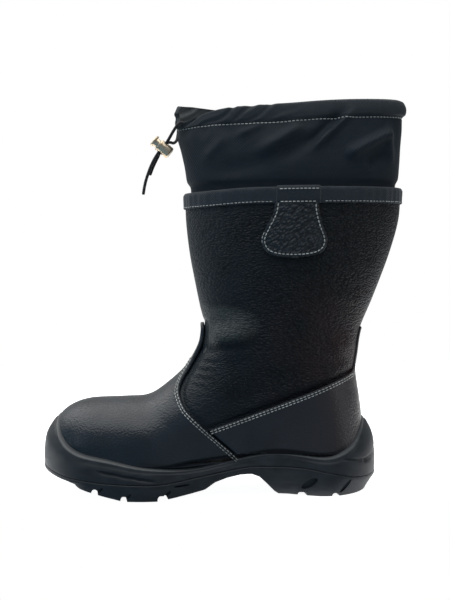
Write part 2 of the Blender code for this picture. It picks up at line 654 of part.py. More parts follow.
def build_pull_strap():
    """Cloth strap over the binding at the middle of the lateral side."""
    edge_angles = [lateral_angle(x, COLLAR) for x in (STRAP_TO, STRAP_FROM)]
    around = np.linspace(*edge_angles, 7)
    low = np.interp(STRAP_LOW, SECTIONS[-2:, 1], (COLLAR - 1, COLLAR))
    binding = GAP + BINDING_WALL
    crown = SECTIONS[-1, 1] + GAP + BINDING_WALL * 1.4

    def line(t, offset, z=None):
        rows = np.full_like(around, t)
        points = upper_surface(rows, around) + offset * upper_normals(rows, around)
        if z is not None:
            points[:, 2] = z
        return points

    lines = [
        line(low, binding + GAP),
        line(COLLAR, binding + GAP, crown + GAP),
        line(COLLAR, -UPPER_WALL, crown + GAP),
        line(COLLAR, -UPPER_WALL, crown + GAP + STRAP_WALL * 0.8),
        line(COLLAR, binding, crown + GAP + STRAP_WALL),
        line(COLLAR, binding + GAP + STRAP_WALL, crown - 0.6),
        line(low, binding + GAP + STRAP_WALL),
    ]
    add_part("pull_strap", swept("pull_strap", np.stack(lines, axis=1)), "binding_cloth")


def build_pull_tab():
    """Leather tab under the strap, cut from a sleeve over the shaft."""
    sleeve = panel_shell("pull_tab", GAP, GAP + TAB_WALL, [12, 13, 14, 14.6])
    tab = add_part("pull_tab", sleeve, "shaft_leather")
    outline = side_prism("pull_tab_outline", TAB_SIDE, -90.0, -20.0)
    boolean(tab, "INTERSECT", add_cutter("pull_tab_outline", outline))


# Snow cuff, drawcord and cord lock


def cuff_ring(row, inwards=0.0, rise=0.0):
    """A level of the cuff. The lateral hem sags at its mouth in front, where the cord comes out."""
    front_x, back_x, front_z, back_z, half, point = CUFF[row]
    angle = angles()
    share = (1 - np.cos(angle)) / 2
    lean = np.abs(np.sin(angle)) ** (1 + point * share)
    middle, reach = (front_x + back_x) / 2, (back_x - front_x) / 2 - inwards
    x = middle + reach * np.cos(angle)
    y = -np.sign(np.sin(angle)) * (half - inwards) * lean
    sag = MOUTH_SAG * np.exp(-(((angle - MOUTH_AT) / MOUTH_REACH) ** 2)) * np.clip((row - 4) / 4, 0.0, 1.0)
    z = back_z + (front_z - back_z) * share - sag + rise
    return np.stack([x, y, z], axis=1)


def build_cuff():
    """Cloth tube from inside the collar up to its hem, a tunnel for the drawcord."""
    top = len(CUFF) - 1
    outer = [cuff_ring(row) for row in range(len(CUFF))]
    hem_inside = [cuff_ring(row, HEM_WALL) for row in range(top - 1, CUFF_STITCH, -1)]
    inside = [cuff_ring(row, CUFF_WALL) for row in range(CUFF_STITCH, -1, -1)]
    add_part("snow_cuff", lofted("snow_cuff", [*outer, *hem_inside, *inside], capped=False), "cuff_cloth")


def smooth_route(points, count):
    """Evenly spread points on a smooth curve through a route's own points."""
    points = np.array(points)
    along = np.concatenate([[0.0], np.cumsum(np.linalg.norm(np.diff(points, axis=0), axis=1))])
    at = np.linspace(0.0, along[-1], count)
    return np.stack([spline(along, points[:, i], at) for i in range(3)], axis=1)


def build_cord(name, route):
    """One end of the drawcord, from the hem's mouth through the lock."""
    curve = bpy.data.curves.new(name, "CURVE")
    curve.dimensions = "3D"
    curve.bevel_depth = CORD_DIAMETER / 2 * MM
    curve.bevel_resolution = 2
    curve.use_fill_caps = True
    points = smooth_route(route, CORD_POINTS)
    line = curve.splines.new("POLY")
    line.points.add(len(points) - 1)
    for point, place in zip(line.points, points):
        point.co = (*(Vector(place) * MM), 1.0)
    curve.materials.append(material("cord_braid"))
    cord = bpy.data.objects.new(name, curve)
    PARTS.objects.link(cord)
    cord.parent = ROOT


def lock_matrix():
    """Frame of the cord lock: z along the barrel's axis, x along the cord."""
    axis = Vector(LOCK_AXIS).normalized()
    across = Vector((0.0, 1.0, 0.0))
    along = across.cross(axis)
    turn = Matrix((along, across, axis)).transposed().to_4x4()
    return Matrix.Translation(Vector(LOCK_AT) * MM) @ turn


def slot_cutter(name, low, high):
    """The slot for both cords, across a turned piece of the lock."""
    size = (30.0, SLOT_WIDTH, high - low)
    slot = add_cutter(name, box(name, size, Matrix.Translation((0.0, 0.0, (low + high) / 2 * MM))))
    slot.matrix_local = lock_matrix()
    return slot


def build_cord_lock():
    """Barrel and sprung plunger. Both are slotted, and the plunger's slot leaves room to press it."""
    barrel_profile = (
        (0.0, BORE_LOW), (BORE_RADIUS, BORE_LOW), (BORE_RADIUS, BARREL_HIGH), (BARREL_RADIUS - 0.4, BARREL_HIGH),
        (BARREL_RADIUS, BARREL_HIGH - 0.5), (BARREL_RADIUS, BARREL_LOW + 1.4), (BARREL_RADIUS - 1.4, BARREL_LOW),
        (0.0, BARREL_LOW),
    )
    plunger_profile = (
        (0.0, HEAD_HIGH), (HEAD_RADIUS - 1.2, HEAD_HIGH), (HEAD_RADIUS, HEAD_HIGH - 0.9), (HEAD_RADIUS, HEAD_LOW + 0.8),
        (HEAD_RADIUS - 0.8, HEAD_LOW), (STEM_RADIUS, HEAD_LOW), (STEM_RADIUS, STEM_LOW), (0.0, STEM_LOW),
    )
    barrel = add_part("cord_lock_barrel", turned("cord_lock_barrel", barrel_profile), "lock_nickel")
    plunger = add_part("cord_lock_plunger", turned("cord_lock_plunger", plunger_profile), "lock_nickel")
    for piece in (barrel, plunger):
        piece.matrix_local = lock_matrix()
    boolean(barrel, "DIFFERENCE", slot_cutter("barrel_slot", -SLOT_HALF, SLOT_HALF))
    boolean(plunger, "DIFFERENCE", slot_cutter("plunger_slot", -SLOT_HALF, SLOT_HALF + PRESS_TRAVEL))


def centre_on_footprint():
    """Moves the root so that the boot without its cord and lock stands centred on the origin."""
    bpy.context.view_layer.update()
    graph = bpy.context.evaluated_depsgraph_get()
    corners = []
    for obj in PARTS.objects:
        if obj.type == "MESH" and not obj.name.startswith("cord_lock"):
            corners += [Vector(corner) for corner in obj.evaluated_get(graph).bound_box]
    low = Vector([min(c[i] for c in corners) for i in range(3)])
    high = Vector([max(c[i] for c in corners) for i in range(3)])
    ROOT.location = (-(low.x + high.x) / 2, -(low.y + high.y) / 2, -low.z)


clear_scene()
PARTS = collection("work_boot")
CUTTERS = collection("cutters")
ROOT = bpy.data.objects.new("work_boot_root", None)
PARTS.objects.link(ROOT)
build_outsole()
build_midsole()
build_insole()
build_upper()
build_panels()
build_binding()
build_pull_tab()
build_pull_strap()
build_cuff()
build_cord("drawcord_long", LONG_CORD)
build_cord("drawcord_short", SHORT_CORD)
build_cord_lock()
centre_on_footprint()
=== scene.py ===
"""Left pull-on work boot with a cloth snow cuff: leather, cloth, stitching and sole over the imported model.

Shapes are worked out in station millimetres: x runs from the sole's toe tip back to the heel, y from the
outer (lateral) side at -y to the inner (medial) side at +y, and z is the height over the floor.
"""

import json
import math

import bmesh
import bpy
import numpy as np
from mathutils import Matrix, Vector


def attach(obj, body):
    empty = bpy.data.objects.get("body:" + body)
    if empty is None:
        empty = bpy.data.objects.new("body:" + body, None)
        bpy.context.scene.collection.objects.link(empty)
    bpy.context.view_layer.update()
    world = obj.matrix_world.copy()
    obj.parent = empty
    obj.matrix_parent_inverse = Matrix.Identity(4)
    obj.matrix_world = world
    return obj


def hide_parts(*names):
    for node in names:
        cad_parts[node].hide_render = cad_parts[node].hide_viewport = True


bl_info = {
    "name": "Work boot with snow cuff",
    "version": (1, 0, 0),
    "blender": (4, 5, 0),
    "location": "3D View > Sidebar > Work boot",
    "description": "Dresses the packed work boot in leather, cloth, stitching and a moulded sole",
    "category": "Object",
}

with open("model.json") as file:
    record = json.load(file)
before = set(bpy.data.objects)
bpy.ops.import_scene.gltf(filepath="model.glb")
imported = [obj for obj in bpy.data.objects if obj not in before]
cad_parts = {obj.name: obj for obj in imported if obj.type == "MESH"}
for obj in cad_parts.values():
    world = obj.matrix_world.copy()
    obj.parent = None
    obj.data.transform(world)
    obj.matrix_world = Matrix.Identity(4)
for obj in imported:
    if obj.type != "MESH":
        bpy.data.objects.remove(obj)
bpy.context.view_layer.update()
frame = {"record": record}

MM = 0.001
HEEL_REST_STATION = np.array((248.0, -25.0, 0.0))
HEEL_REST = next(m["pos_m"] for m in frame["record"]["mounts"] if m["name"] == "heel_rest")
SHIFT = np.array(HEEL_REST) - HEEL_REST_STATION * MM

# Upper: a section is a ring between a point on the front line and a point on the back line
SECTION_COLUMNS = ("front_x", "front_z", "back_x", "back_z", "ball_dip")
SECTIONS = np.array((
    (13.0, 29.0, 290.0, 29.0, 9.8),
    (9.0, 43.0, 293.5, 36.0, 9.0),
    (11.0, 57.5, 293.4, 43.0, 6.0),
    (21.0, 72.0, 292.6, 50.0, 3.0),
    (41.3, 80.5, 291.6, 57.5, 1.0),
    (74.0, 82.4, 290.6, 66.0, 0.0),
    (98.0, 84.7, 289.7, 75.0, 0.0),
    (117.9, 97.5, 288.5, 85.0, 0.0),
    (135.0, 113.8, 287.0, 95.0, 0.0),
    (145.5, 132.3, 285.8, 108.0, 0.0),
    (148.6, 151.0, 287.8, 122.0, 0.0),
    (145.4, 167.0, 292.0, 145.0, 0.0),
    (141.5, 187.0, 304.0, 173.0, 0.0),
    (136.6, 215.0, 319.0, 211.0, 0.0),
    (133.6, 244.0, 328.5, 243.0, 0.0),
    (133.0, 270.5, 331.0, 270.5, 0.0),
))
COLLAR = 15.0
DIP_AT = (0.0, 0.2, 0.4, 0.55, 0.68, 0.9, 1.0)
DIP_SHARE = (0.0, -0.1, -0.2, 0.35, 1.0, 0.43, 0.0)
FOOT_COLUMNS = ("station", "half_width")
FOOT = np.array(((15, 44.0), (45, 46.0), (75, 48.5), (100, 49.5), (140, 43.5), (185, 36.0), (225, 36.0),
                 (265, 37.0)))
SHAFT_COLUMNS = ("height", "half_width", "rounding")
SHAFT = np.array(((100, 43.0, 64.0), (150, 44.0, 72.0), (200, 48.0, 86.0), (240, 51.0, 96.0),
                  (272, 52.0, 99.0)))
FOOT_ROUNDING = 38.0
SHAFT_STARTS, SHAFT_RULES = 55.0, 150.0
FEATHER_TUCK = 0.06
TOE_IN, TOE_IN_FROM, TOE_IN_TO = 7.0, 120.0, 10.0
ARCH_OUT, ARCH_AT, ARCH_REACH, ARCH_FADES = 3.0, 185.0, 65.0, (40.0, 90.0)
SOLE_MIDDLE, COLLAR_MIDDLE = 152.0, 232.0

# Panel seams in side view
VAMP_SEAM_COLUMNS = ("height", "station")
VAMP_SEAM = np.array((
    (20, 192.5), (37, 176.5), (49, 163.2), (61, 150.0), (70, 140.6), (77, 133.6), (84, 129.6), (92, 127.6),
    (101, 130.2), (111, 136.2), (124, 143.6), (133, 147.6), (140, 148.9), (147, 149.4), (153, 148.4),
))
VAMP_TOP = 153.0
VAMP_ROLL, VAMP_ROLL_AT, VAMP_ROLL_REACH = 1.4, (80.0, 98.0), 7.0
COUNTER_SEAM_COLUMNS = ("station", "height")
COUNTER_SEAM = np.array(((150, 59.0), (180, 68.5), (207, 78.0), (234, 88.0), (261, 98.5), (281, 106.0)))
TONGUE_COLUMNS = ("height", "station")
TONGUE = np.array(((106.0, 281.0), (109.5, 284.0), (114.0, 284.9), (122.0, 286.2), (133.0, 287.9),
                   (144.0, 290.4), (147.0, 291.2)))
# Where the painted shade line over the sole runs, in degrees from the heel, and how it fades over the rim
PAINTED_SHADE_FROM, PAINTED_SHADE_TO, PAINTED_SHADE_FADES = (18.0, 45.0), (98.0, 122.0), (2.6, 4.6)

# Sole wall by the angle round the outline, from the middle of the heel to the tip of the toe
WALL_COLUMNS = ("angle", "rim_z", "belly_z", "rim_proud", "bead", "belly_out", "line_out", "edge_out")
WALL = np.array((
    (0, 66.0, 37.0, 3.2, 2.2, 10.2, 10.2, 2.0),
    (6, 65.4, 36.6, 3.2, 2.4, 10.1, 10.1, 2.3),
    (16, 58.5, 33.0, 3.6, 3.0, 9.2, 9.4, 3.4),
    (28, 44.0, 28.5, 3.8, 3.0, 7.4, 7.8, 4.6),
    (42, 34.5, 26.0, 3.0, 2.0, 5.2, 5.8, 5.0),
    (67, 38.7, 32.0, 1.5, 1.2, 2.4, 3.0, 2.4),
    (95, 27.0, 22.6, 2.8, 1.2, 2.6, 3.4, 3.0),
    (112, 29.4, 21.6, 3.4, 1.8, 5.4, 6.0, 5.2),
    (126, 35.4, 24.6, 4.2, 2.2, 6.8, 7.2, 6.0),
    (144, 43.2, 28.6, 4.8, 2.6, 8.0, 8.4, 6.4),
    (162, 62.4, 36.0, 5.0, 2.8, 8.6, 8.8, 5.0),
    (173, 70.0, 39.5, 5.6, 2.6, 8.6, 8.8, 3.4),
    (180, 71.0, 40.0, 5.8, 2.6, 8.6, 8.8, 3.0),
))
# Painted highlight along the rim's bead: its row up the wall, its reach, and the waist where it all but fades
RIM_HIGHLIGHT_ROW, RIM_HIGHLIGHT_REACH = 7.2, 0.6
WAIST_ANGLE, WAIST_REACH, WAIST_HIGHLIGHT_CUT = 74.0, 33.0, 0.97
GROUND_COLUMNS = ("station", "height")
GROUND = np.array((
    (-4, 25.5), (4, 22.0), (16, 18.2), (28, 15.2), (34.5, 13.6), (37.5, 10.4), (45, 8.0), (60, 4.0),
    (78, 0.0), (108, 0.0), (124, 2.6), (137, 5.3), (149, 8.2), (158, 14.2), (168, 17.6), (180, 20.0),
    (190, 20.4), (197, 17.8), (203, 12.2), (210, 5.0), (213.5, 2.8), (222, 2.4), (232, 1.4), (243, 0.5),
    (250, 0.0), (270, 0.0), (284, 0.4), (292, 1.2), (299, 4.6), (310, 16.0),
))
PARTING_COLUMNS = ("station", "height")
PARTING = np.array((
    (-4, 29.5), (3, 27.6), (16, 24.0), (28, 20.5), (46, 17.4), (62, 15.6), (90, 14.4), (115, 14.8),
    (150, 20.5), (185, 26.3), (205, 26.6), (233, 25.0), (260, 20.0), (278, 15.8), (292, 16.5), (310, 25.0),
))
SEAT_INSET, SEAT_HEIGHT = 12.0, 31.0
GROOVE_COLUMNS = ("station", "width", "depth", "reach")
GROOVES = ((27.0, 6.0, 4.0, 36.0), (44.2, 6.0, 4.4, 75.0), (69.3, 6.0, 4.0, 75.0), (103.3, 9.6, 3.8, 75.0),
           (227.3, 9.0, 2.6, 75.0), (256.9, 7.5, 2.8, 75.0))
GROOVE_SWEEP = math.radians(10)
CHANNELS_Y = (-15.0, 15.0)
CHANNEL_RUNS = ((20.0, 160.0), (209.0, 290.0))
CHANNEL_WIDTH, CHANNEL_DEPTH = 5.0, 3.2
CHANNEL_BELOW, GROOVE_BOTTOM = 6.0, -8.0
NOTCH_COLUMNS = ("station", "height", "lean", "width", "length")
NOTCHES = ((57.5, 9.6, 50.0, 2.4, 7.0), (82.0, 4.4, 50.0, 2.6, 8.0), (116.5, 6.4, 50.0, 2.6, 8.0),
           (129.0, 12.8, 84.0, 1.8, 14.0), (241.0, 11.4, 60.0, 6.0, 16.0), (273.0, 8.4, 43.0, 3.0, 15.0))
NOTCH_REACH = 10.0
RIB_COLUMNS = ("from_angle", "to_angle", "from_z", "to_z", "width", "depth")
RIBS = (
    (109.6, 130.4, 17.8, 25.6, 1.0, 2.4),
    (2.0, 20.0, 38.0, 29.6, 1.0, 2.0),
    (19.0, 33.0, 29.6, 31.5, 0.9, 1.5),
)

# Footbed in section: share of its size, height over its underside
FOOTBED = (
    (0.0, 0.0), (0.9, 0.0), (0.985, 0.3), (1.0, 1.2), (1.0, 3.0), (0.985, 3.7), (0.95, 4.0), (0.8, 4.2),
    (0.5, 4.6), (0.0, 4.8),
)
FOOTBED_OVER, FOOTBED_WIDTH, FOOTBED_SHORTER, FOOTBED_DRAWN_IN = 2.9, 0.925, 0.022, 0.02

# Collar, which drops towards the front
COLLAR_DIP, DIP_FROM, DIP_TO, DIP_FADES = 2.4, 200.0, 135.0, (225.0, 270.0)

# Binding in section: distance outside the upper, height
BINDING = (
    (0.4, 257.9), (1.0, 257.8), (1.4, 258.2), (1.55, 259.2), (1.45, 260.4), (1.5, 264.0), (1.6, 267.0),
    (1.5, 269.6), (1.1, 271.2), (0.2, 272.2), (-1.2, 272.5), (-2.7, 272.2), (-3.6, 271.2), (-3.9, 269.6),
    (-3.85, 266.0), (-3.9, 263.4), (-3.6, 262.6), (-2.9, 262.5), (-2.8, 270.7), (0.3, 270.7),
)
BINDING_SEAM, BINDING_GIRTH, BINDING_OPEN = 259.4, 0.72, (212.0, 255.0)
PUCKER_BEYOND = 1.3

# Pull strap in section: distance outside the upper, height, shares of its thickness outwards and upwards
STRAP = (
    (1.8, 257.6, 0.25, -0.1),
    (1.85, 261.0, 1.0, 0.0),
    (1.85, 265.0, 1.0, 0.0),
    (1.85, 269.4, 1.0, 0.1),
    (1.6, 271.3, 0.9, 0.5),
    (0.9, 272.4, 0.5, 0.9),
    (-0.4, 272.85, 0.0, 1.0),
    (-2.4, 272.85, 0.0, 0.2),
)
STRAP_FROM, STRAP_TO, STRAP_WALL, STRAP_EDGE = 214.5, 253.0, 0.7, 2.4
TAB_COLUMNS = ("height", "from_x", "to_x")
TAB = np.array(((210.4, 229.5, 229.5), (211.4, 215.5, 244.0), (215.0, 206.0, 253.5), (221.5, 201.6, 258.0),
                (229.0, 201.4, 258.0), (239.0, 206.0, 254.5), (250.0, 211.5, 251.8), (258.6, 213.2, 251.2)))
TAB_GAP, TAB_WALL, TAB_EDGE = 0.3, 2.0, 1.5

# Snow cuff by levels of its outer face
CUFF_COLUMNS = ("front_x", "back_x", "front_z", "back_z", "half_width", "front_point")
CUFF = np.array((
    (138.4, 325.8, 258.0, 258.0, 46.8, 0.0),
    (138.2, 326.0, 274.2, 274.2, 46.9, 0.0),
    (134.8, 328.8, 281.0, 281.0, 47.7, 0.0),
    (132.8, 330.2, 294.0, 294.0, 47.0, 0.05),
    (129.6, 331.4, 309.0, 310.0, 44.0, 0.12),
    (126.8, 332.8, 319.5, 324.0, 41.0, 0.2),
    (126.0, 333.6, 329.5, 336.4, 37.2, 0.3),
    (124.8, 336.8, 333.5, 340.2, 37.6, 0.32),
    (124.4, 337.4, 339.2, 345.6, 37.2, 0.35),
    (124.4, 335.0, 344.2, 351.0, 36.0, 0.35),
    (125.2, 331.0, 346.0, 352.9, 34.6, 0.35),
))
CUFF_STITCH = 6
MOUTH_SAG, MOUTH_AT = 13.5, math.radians(166)
MOUTH_BACK, MOUTH_FRONT = math.radians(30), math.radians(11)
MOUTH_LEVELS, MOUTH_DROP = (4.0, 6.0), 1.5
MEDIAL_LIFT, MEDIAL_STARTS, MEDIAL_ENDS = 5.6, (math.pi - 0.03, math.pi + 0.2), (5.1, 6.1)
MEDIAL_EASE, MEDIAL_EASES = 0.7, (math.pi + 0.5, math.pi + 1.1)
HEM_SAG, HEM_SAG_AT, HEM_SAG_REACH = 2.2, math.radians(101), math.radians(25)
CUFF_WALL, HEM_WALL = 1.2, 3.6

# Drawcord: from the mouth of the hem, through the lock, to each free end
LONG_CORD = ((131.2, -9.42, 334.5), (129.1, -11.5, 334.0), (126.5, -12.7, 331.0), (123.2, -11.2, 326.4),
             (120.0, -8.0, 321.6), (117.4, -5.9, 317.7), (115.0, -5.55, 314.8), (113.0, -5.55, 312.5),
             (110.2, -5.55, 309.1), (107.2, -5.7, 304.8), (104.2, -5.9, 299.6), (101.6, -6.0, 294.0),
             (99.3, -6.0, 288.0), (97.4, -6.0, 282.2), (96.0, -6.0, 276.4), (95.0, -6.0, 270.5))
SHORT_CORD = ((131.05, 9.22, 338.6), (129.0, 11.2, 338.1), (127.1, 12.6, 333.6), (126.4, 11.7, 326.0),
              (125.2, 8.4, 320.2), (122.6, 3.4, 317.4), (119.6, -0.8, 317.6), (117.0, -2.3, 317.0),
              (115.0, -2.45, 314.8), (113.0, -2.45, 312.5), (110.5, -2.4, 309.2), (108.7, -2.3, 304.8),
              (106.1, -2.1, 299.8), (103.5, -2.1, 294.2), (101.2, -2.2, 288.4))
LOCK_AT = (113.0, -4.0, 312.5)
LOCK_AXIS = (-0.764, 0.0, 0.645)

# Turned pieces of the cord lock in section: radius, height along the axis
BARREL = (
    (0.0, -7.8), (4.5, -7.8), (4.5, 4.2), (4.75, 4.4), (5.3, 4.4), (5.65, 4.2), (5.8, 3.9), (5.8, 2.6),
    (5.5, 2.4), (5.5, 2.1), (5.8, 1.9), (5.8, -7.4), (5.55, -8.1), (4.9, -8.7), (4.2, -9.0), (0.0, -9.0),
)
PLUNGER = (
    (0.0, 10.8), (3.6, 10.8), (4.5, 10.7), (5.2, 10.4), (5.6, 9.9), (5.6, 9.1), (5.4, 8.6), (4.9, 8.4),
    (4.2, 8.4), (4.2, -3.7), (4.0, -3.9), (0.0, -3.9),
)
SLOT_HALF, SLOT_WIDTH, SLOT_LENGTH = 1.75, 6.5, 30.0
PRESS_TRAVEL = 3.5

# Creases in side view: a trough where the height is below zero, a ridge above it
CREASE_COLUMNS = ("from_x", "from_z", "to_x", "to_z", "width", "height")
SHAFT_CREASES = (
    (158.0, 137.0, 190.0, 143.0, 13.0, 7.5),
    (150.0, 127.0, 192.0, 134.0, 4.5, -2.6),
    (144.0, 118.0, 160.0, 117.0, 1.9, -0.6),
    (141.0, 111.0, 157.0, 109.0, 1.9, -0.6),
    (139.0, 104.5, 155.0, 102.0, 1.9, -0.5),
    (136.5, 98.0, 151.0, 95.0, 1.9, -0.4),
    (250.0, 190.0, 296.0, 184.0, 5.0, -0.6),
    (255.0, 178.0, 292.0, 170.0, 4.0, 0.6),
    (244.0, 204.0, 300.0, 203.0, 4.0, 0.5),
    (262.0, 128.0, 282.0, 136.0, 9.0, 1.6),
    (180.0, 77.0, 232.0, 96.0, 4.5, 1.1),
    (232.0, 96.0, 276.0, 113.0, 5.0, 1.4),
)
VAMP_CREASES = (
    (96.0, 76.0, 128.0, 58.0, 7.0, -0.7),
    (84.0, 74.0, 116.0, 52.0, 7.0, -0.5),
)
CUFF_RIDGES = (
    (238.0, 326.0, 203.0, 305.0, 6.0, 3.0),
    (248.0, 316.0, 219.0, 297.0, 6.0, -1.6),
    (205.0, 329.0, 182.0, 319.0, 3.5, 1.4),
    (282.0, 338.0, 249.0, 307.0, 3.2, 2.6),
    (273.0, 338.0, 244.0, 312.0, 4.0, -2.0),
    (318.0, 321.0, 297.0, 310.5, 4.5, 3.6),
    (298.0, 311.0, 279.0, 300.0, 5.0, 3.6),
    (317.0, 329.0, 319.0, 296.0, 3.5, 1.8),
    (312.0, 303.0, 298.0, 292.0, 6.0, -2.6),
    (216.0, 297.0, 162.0, 287.0, 8.0, -1.2),
    (170.0, 318.0, 152.0, 298.0, 5.0, 1.2),
)
CREASE_STARTS, CREASE_ENDS = (-0.25, 0.3), (0.7, 1.25)
RIDGES_MIRROR, MIRROR_SHARE = 470.0, 0.8
FOLD_FADES_Y, FOLD_LEVELS = (0.0, 12.0), (1.6, 2.6)
PANEL_GAP = 0.05

# Troughs beside the seams: distance behind the seam, depth, reach
VAMP_TROUGH, VAMP_TROUGH_ROLLED, COUNTER_TROUGH = (1.3, 1.7, 1.4), (0.7, 0.8, 0.6), (1.2, 2.2, 1.5)

# Waves: height, rate along the line, start
BINDING_PUCKERS = ((0.26, 23.0, 0.0), (0.2, 61.0, 1.0))
GATHERS = ((1.0, 1.0, 0.0), (0.5, 1.9, 0.8))
GATHER_WANDER = ((1.3, 0.083, 0.0), (0.8, 0.19, 1.0))
UNDER_WANDER = ((1.7, 0.05, 0.0),)

# Gathers of the hem, ripples under it and the groove of its stitches
GATHER_WAY, GATHER_SHARE, GATHER_LEVELS, GATHER_FADES = (-0.341, 0.5146), 0.4, (0.2, 1.2), (190.0, 250.0)
UNDER_RATE, UNDER_SHARE, UNDER_BELOW, UNDER_REACH = 0.31, 0.3, 0.5, 0.6
HEM_GROOVE, HEM_GROOVE_REACH = 0.9, 0.09

# Rows of stitches: distance in from the edge and over the upper
SEAM_INSETS, VAMP_INSET_MORE, STITCH_OVER = (1.7, 3.7), 0.2, 1.75
TAB_ROW, TAB_SHORT_ROW, TAB_SHORT_PART = (3.0, 2.3), (0.8, 1.9), slice(18, 30)
HEM_ROW_OVER = 0.35

# Rows of stitches on the strap: height, distance over the upper, first and last station
STRAP_ROWS = ((259.2, 2.8, 217.5, 250.0), (270.4, 2.75, 217.0, 250.5))
STITCH_HALF, STITCH_LOOK = 0.4, 0.6

# Stage, in metres
CAMERA_PLACE, CAMERA_ROLL = (0.0003, -0.9016, 0.215), math.radians(0.7)
LENS, SENSOR, LENS_SHIFT = 58.61, 36.0, -0.078
LIGHT_COLUMNS = ("name", "place", "target", "size", "power")
LIGHTS = (
    ("top_softbox", (-0.22, 0.03, 1.0), (-0.22, 0.03, 0.0), 1.45, 10.2),
    ("left_softbox", (-1.0, -0.7, 0.28), (-0.03, 0.0, 0.15), 0.4, 0.4),
    ("toe_softbox", (-0.95, 0.5, 0.85), (-0.12, 0.0, 0.06), 0.7, 1.9),
    ("right_softbox", (1.0, -0.45, 0.12), (0.14, 0.0, 0.06), 0.35, 0.4),
)
WHITE = (1.0, 1.0, 1.0, 1.0)
ROOM_LEFT, ROOM_RIGHT = (0.12, 0.22, 0.31, 1.0), (0.19, 0.215, 0.24, 1.0)
ROOM_BACK = (0.44, 0.45, 0.445, 1.0)
FLOOR_MIDDLE, FLOOR_HALF = (0.0, 0.465, 0.0), (0.6, 0.515, 1.0, 1.0)

# Grain of the pebbled leathers
SHAFT_GRAIN = {"specular": 0.24, "cells": 580.0, "relief": 0.0016, "turn": 0.0}
TAB_GRAIN = {"specular": 0.5, "cells": 440.0, "relief": 0.0026, "turn": math.radians(40)}

# Places in metres of flexing, the redder heel, painted cool light and a painted highlight, and colours of
# painted highlights, painted light and painted shade
FLEX_X, FLEX_Z = (0.03, -0.02), (0.21, 0.17)
# The redder heel, then painted cool light: the front of the shaft painted lighter in patches, as though lit
# from the left
WARM_X, WARM_Z, PAINTED_COOL_LIGHT_X = (0.02, 0.1), (0.2, 0.15), (0.07, -0.02)
SHAFT_WARMTH, PANEL_WARMTH = (5.5, 1.6, 1.4), (2.6, 1.6, 1.3)
# A painted highlight: a pale oval on the lateral side of the ankle
PAINTED_HIGHLIGHT_PLACE, PAINTED_HIGHLIGHT_LENGTH, PAINTED_HIGHLIGHT_HEIGHT, PAINTED_HIGHLIGHT_SLOPE = (152.0, 0.0, 150.0), 0.05, 0.02, 0.04
PAINTED_HIGHLIGHT = (0.06, 0.068, 0.065, 1.0)
# Painted shade: a near-black line on the leather just over the sole's rim
PAINTED_SHADE_COLOUR = (0.002, 0.002, 0.003, 1.0)
# Painted highlight along the sole's beaded rim
RIM_PAINTED_HIGHLIGHT = (0.13, 0.13, 0.127, 1.0)
# Painted light on the cuff's doubled hem, with its share on the outer face
HEM_PAINTED_LIGHT, HEM_PAINTED_LIGHT_OUTSIDE = (0.14, 0.146, 0.146, 1.0), 0.17


def spline(knots, values, at):
    """Smooth curve through the values at the knots: a cubic with Catmull-Rom slopes."""
    knots, values, at = (np.asarray(a, float) for a in (knots, values, at))
    slopes = np.empty_like(values)
    slopes[1:-1] = (values[2:] - values[:-2]) / (knots[2:] - knots[:-2])
    slopes[0] = (values[1] - values[0]) / (knots[1] - knots[0])
    slopes[-1] = (values[-1] - values[-2]) / (knots[-1] - knots[-2])
    i = np.clip(np.searchsorted(knots, at, side="right") - 1, 0, len(knots) - 2)
    step = knots[i + 1] - knots[i]
    u = np.clip((at - knots[i]) / step, 0.0, 1.0)
    rise = u * u * (3 - 2 * u)
    leave, arrive = u * (1 - u) ** 2, u * u * (1 - u)
    straight = values[i] + (values[i + 1] - values[i]) * rise
    return straight + step * (slopes[i] * leave - slopes[i + 1] * arrive)


def smoothstep(low, high, at):
    u = np.clip((np.asarray(at, float) - low) / (high - low), 0.0, 1.0)
    return u * u * (3 - 2 * u)


def bell(at, middle, reach):
    """1 at the middle, falling off softly within a reach to each side."""
    return np.exp(-(((at - middle) / reach) ** 2))


def waves(at, table):
    """The sum of a table's waves at places along a line."""
    return sum(height * np.sin(rate * at + start) for height, rate, start in table)


def unit(vectors):
    return vectors / np.linalg.norm(vectors, axis=-1, keepdims=True)


def lengths_along(points):
    """Length of a line from its first point to each of its points."""
    return np.concatenate([[0.0], np.cumsum(np.linalg.norm(np.diff(points, axis=0), axis=1))])


def degrees_from_heel(angle):
    """Degrees from the middle of the heel, the same on both sides."""
    return np.degrees(np.minimum(angle, 2 * math.pi - angle))


def column(table, names, name, at):
    """One named column of a table, read smoothly at places along its first column."""
    return spline(table[:, 0], table[:, names.index(name)], at)


def section(t):
    """Front point, back point and dip of the upper's section t."""
    rows = np.arange(len(SECTIONS))
    return [spline(rows, SECTIONS[:, i], t) for i in range(len(SECTION_COLUMNS))]


def outline_points(steps=160):
    """Points along the upper's front line and back line, in side view."""
    front_x, front_z, back_x, back_z, _ = section(np.linspace(0.0, COLLAR, steps))
    return [np.stack(line, axis=1) for line in ((front_x, front_z), (back_x, back_z))]


OUTLINE = outline_points()


def nearest_index(points, targets):
    """Index of the target that is nearest to each point."""
    found = np.empty(len(points), int)
    for first in range(0, len(points), 20000):
        part = points[first:first + 20000]
        found[first:first + 20000] = ((targets ** 2).sum(1) - 2 * part @ targets.T).argmin(axis=1)
    return found


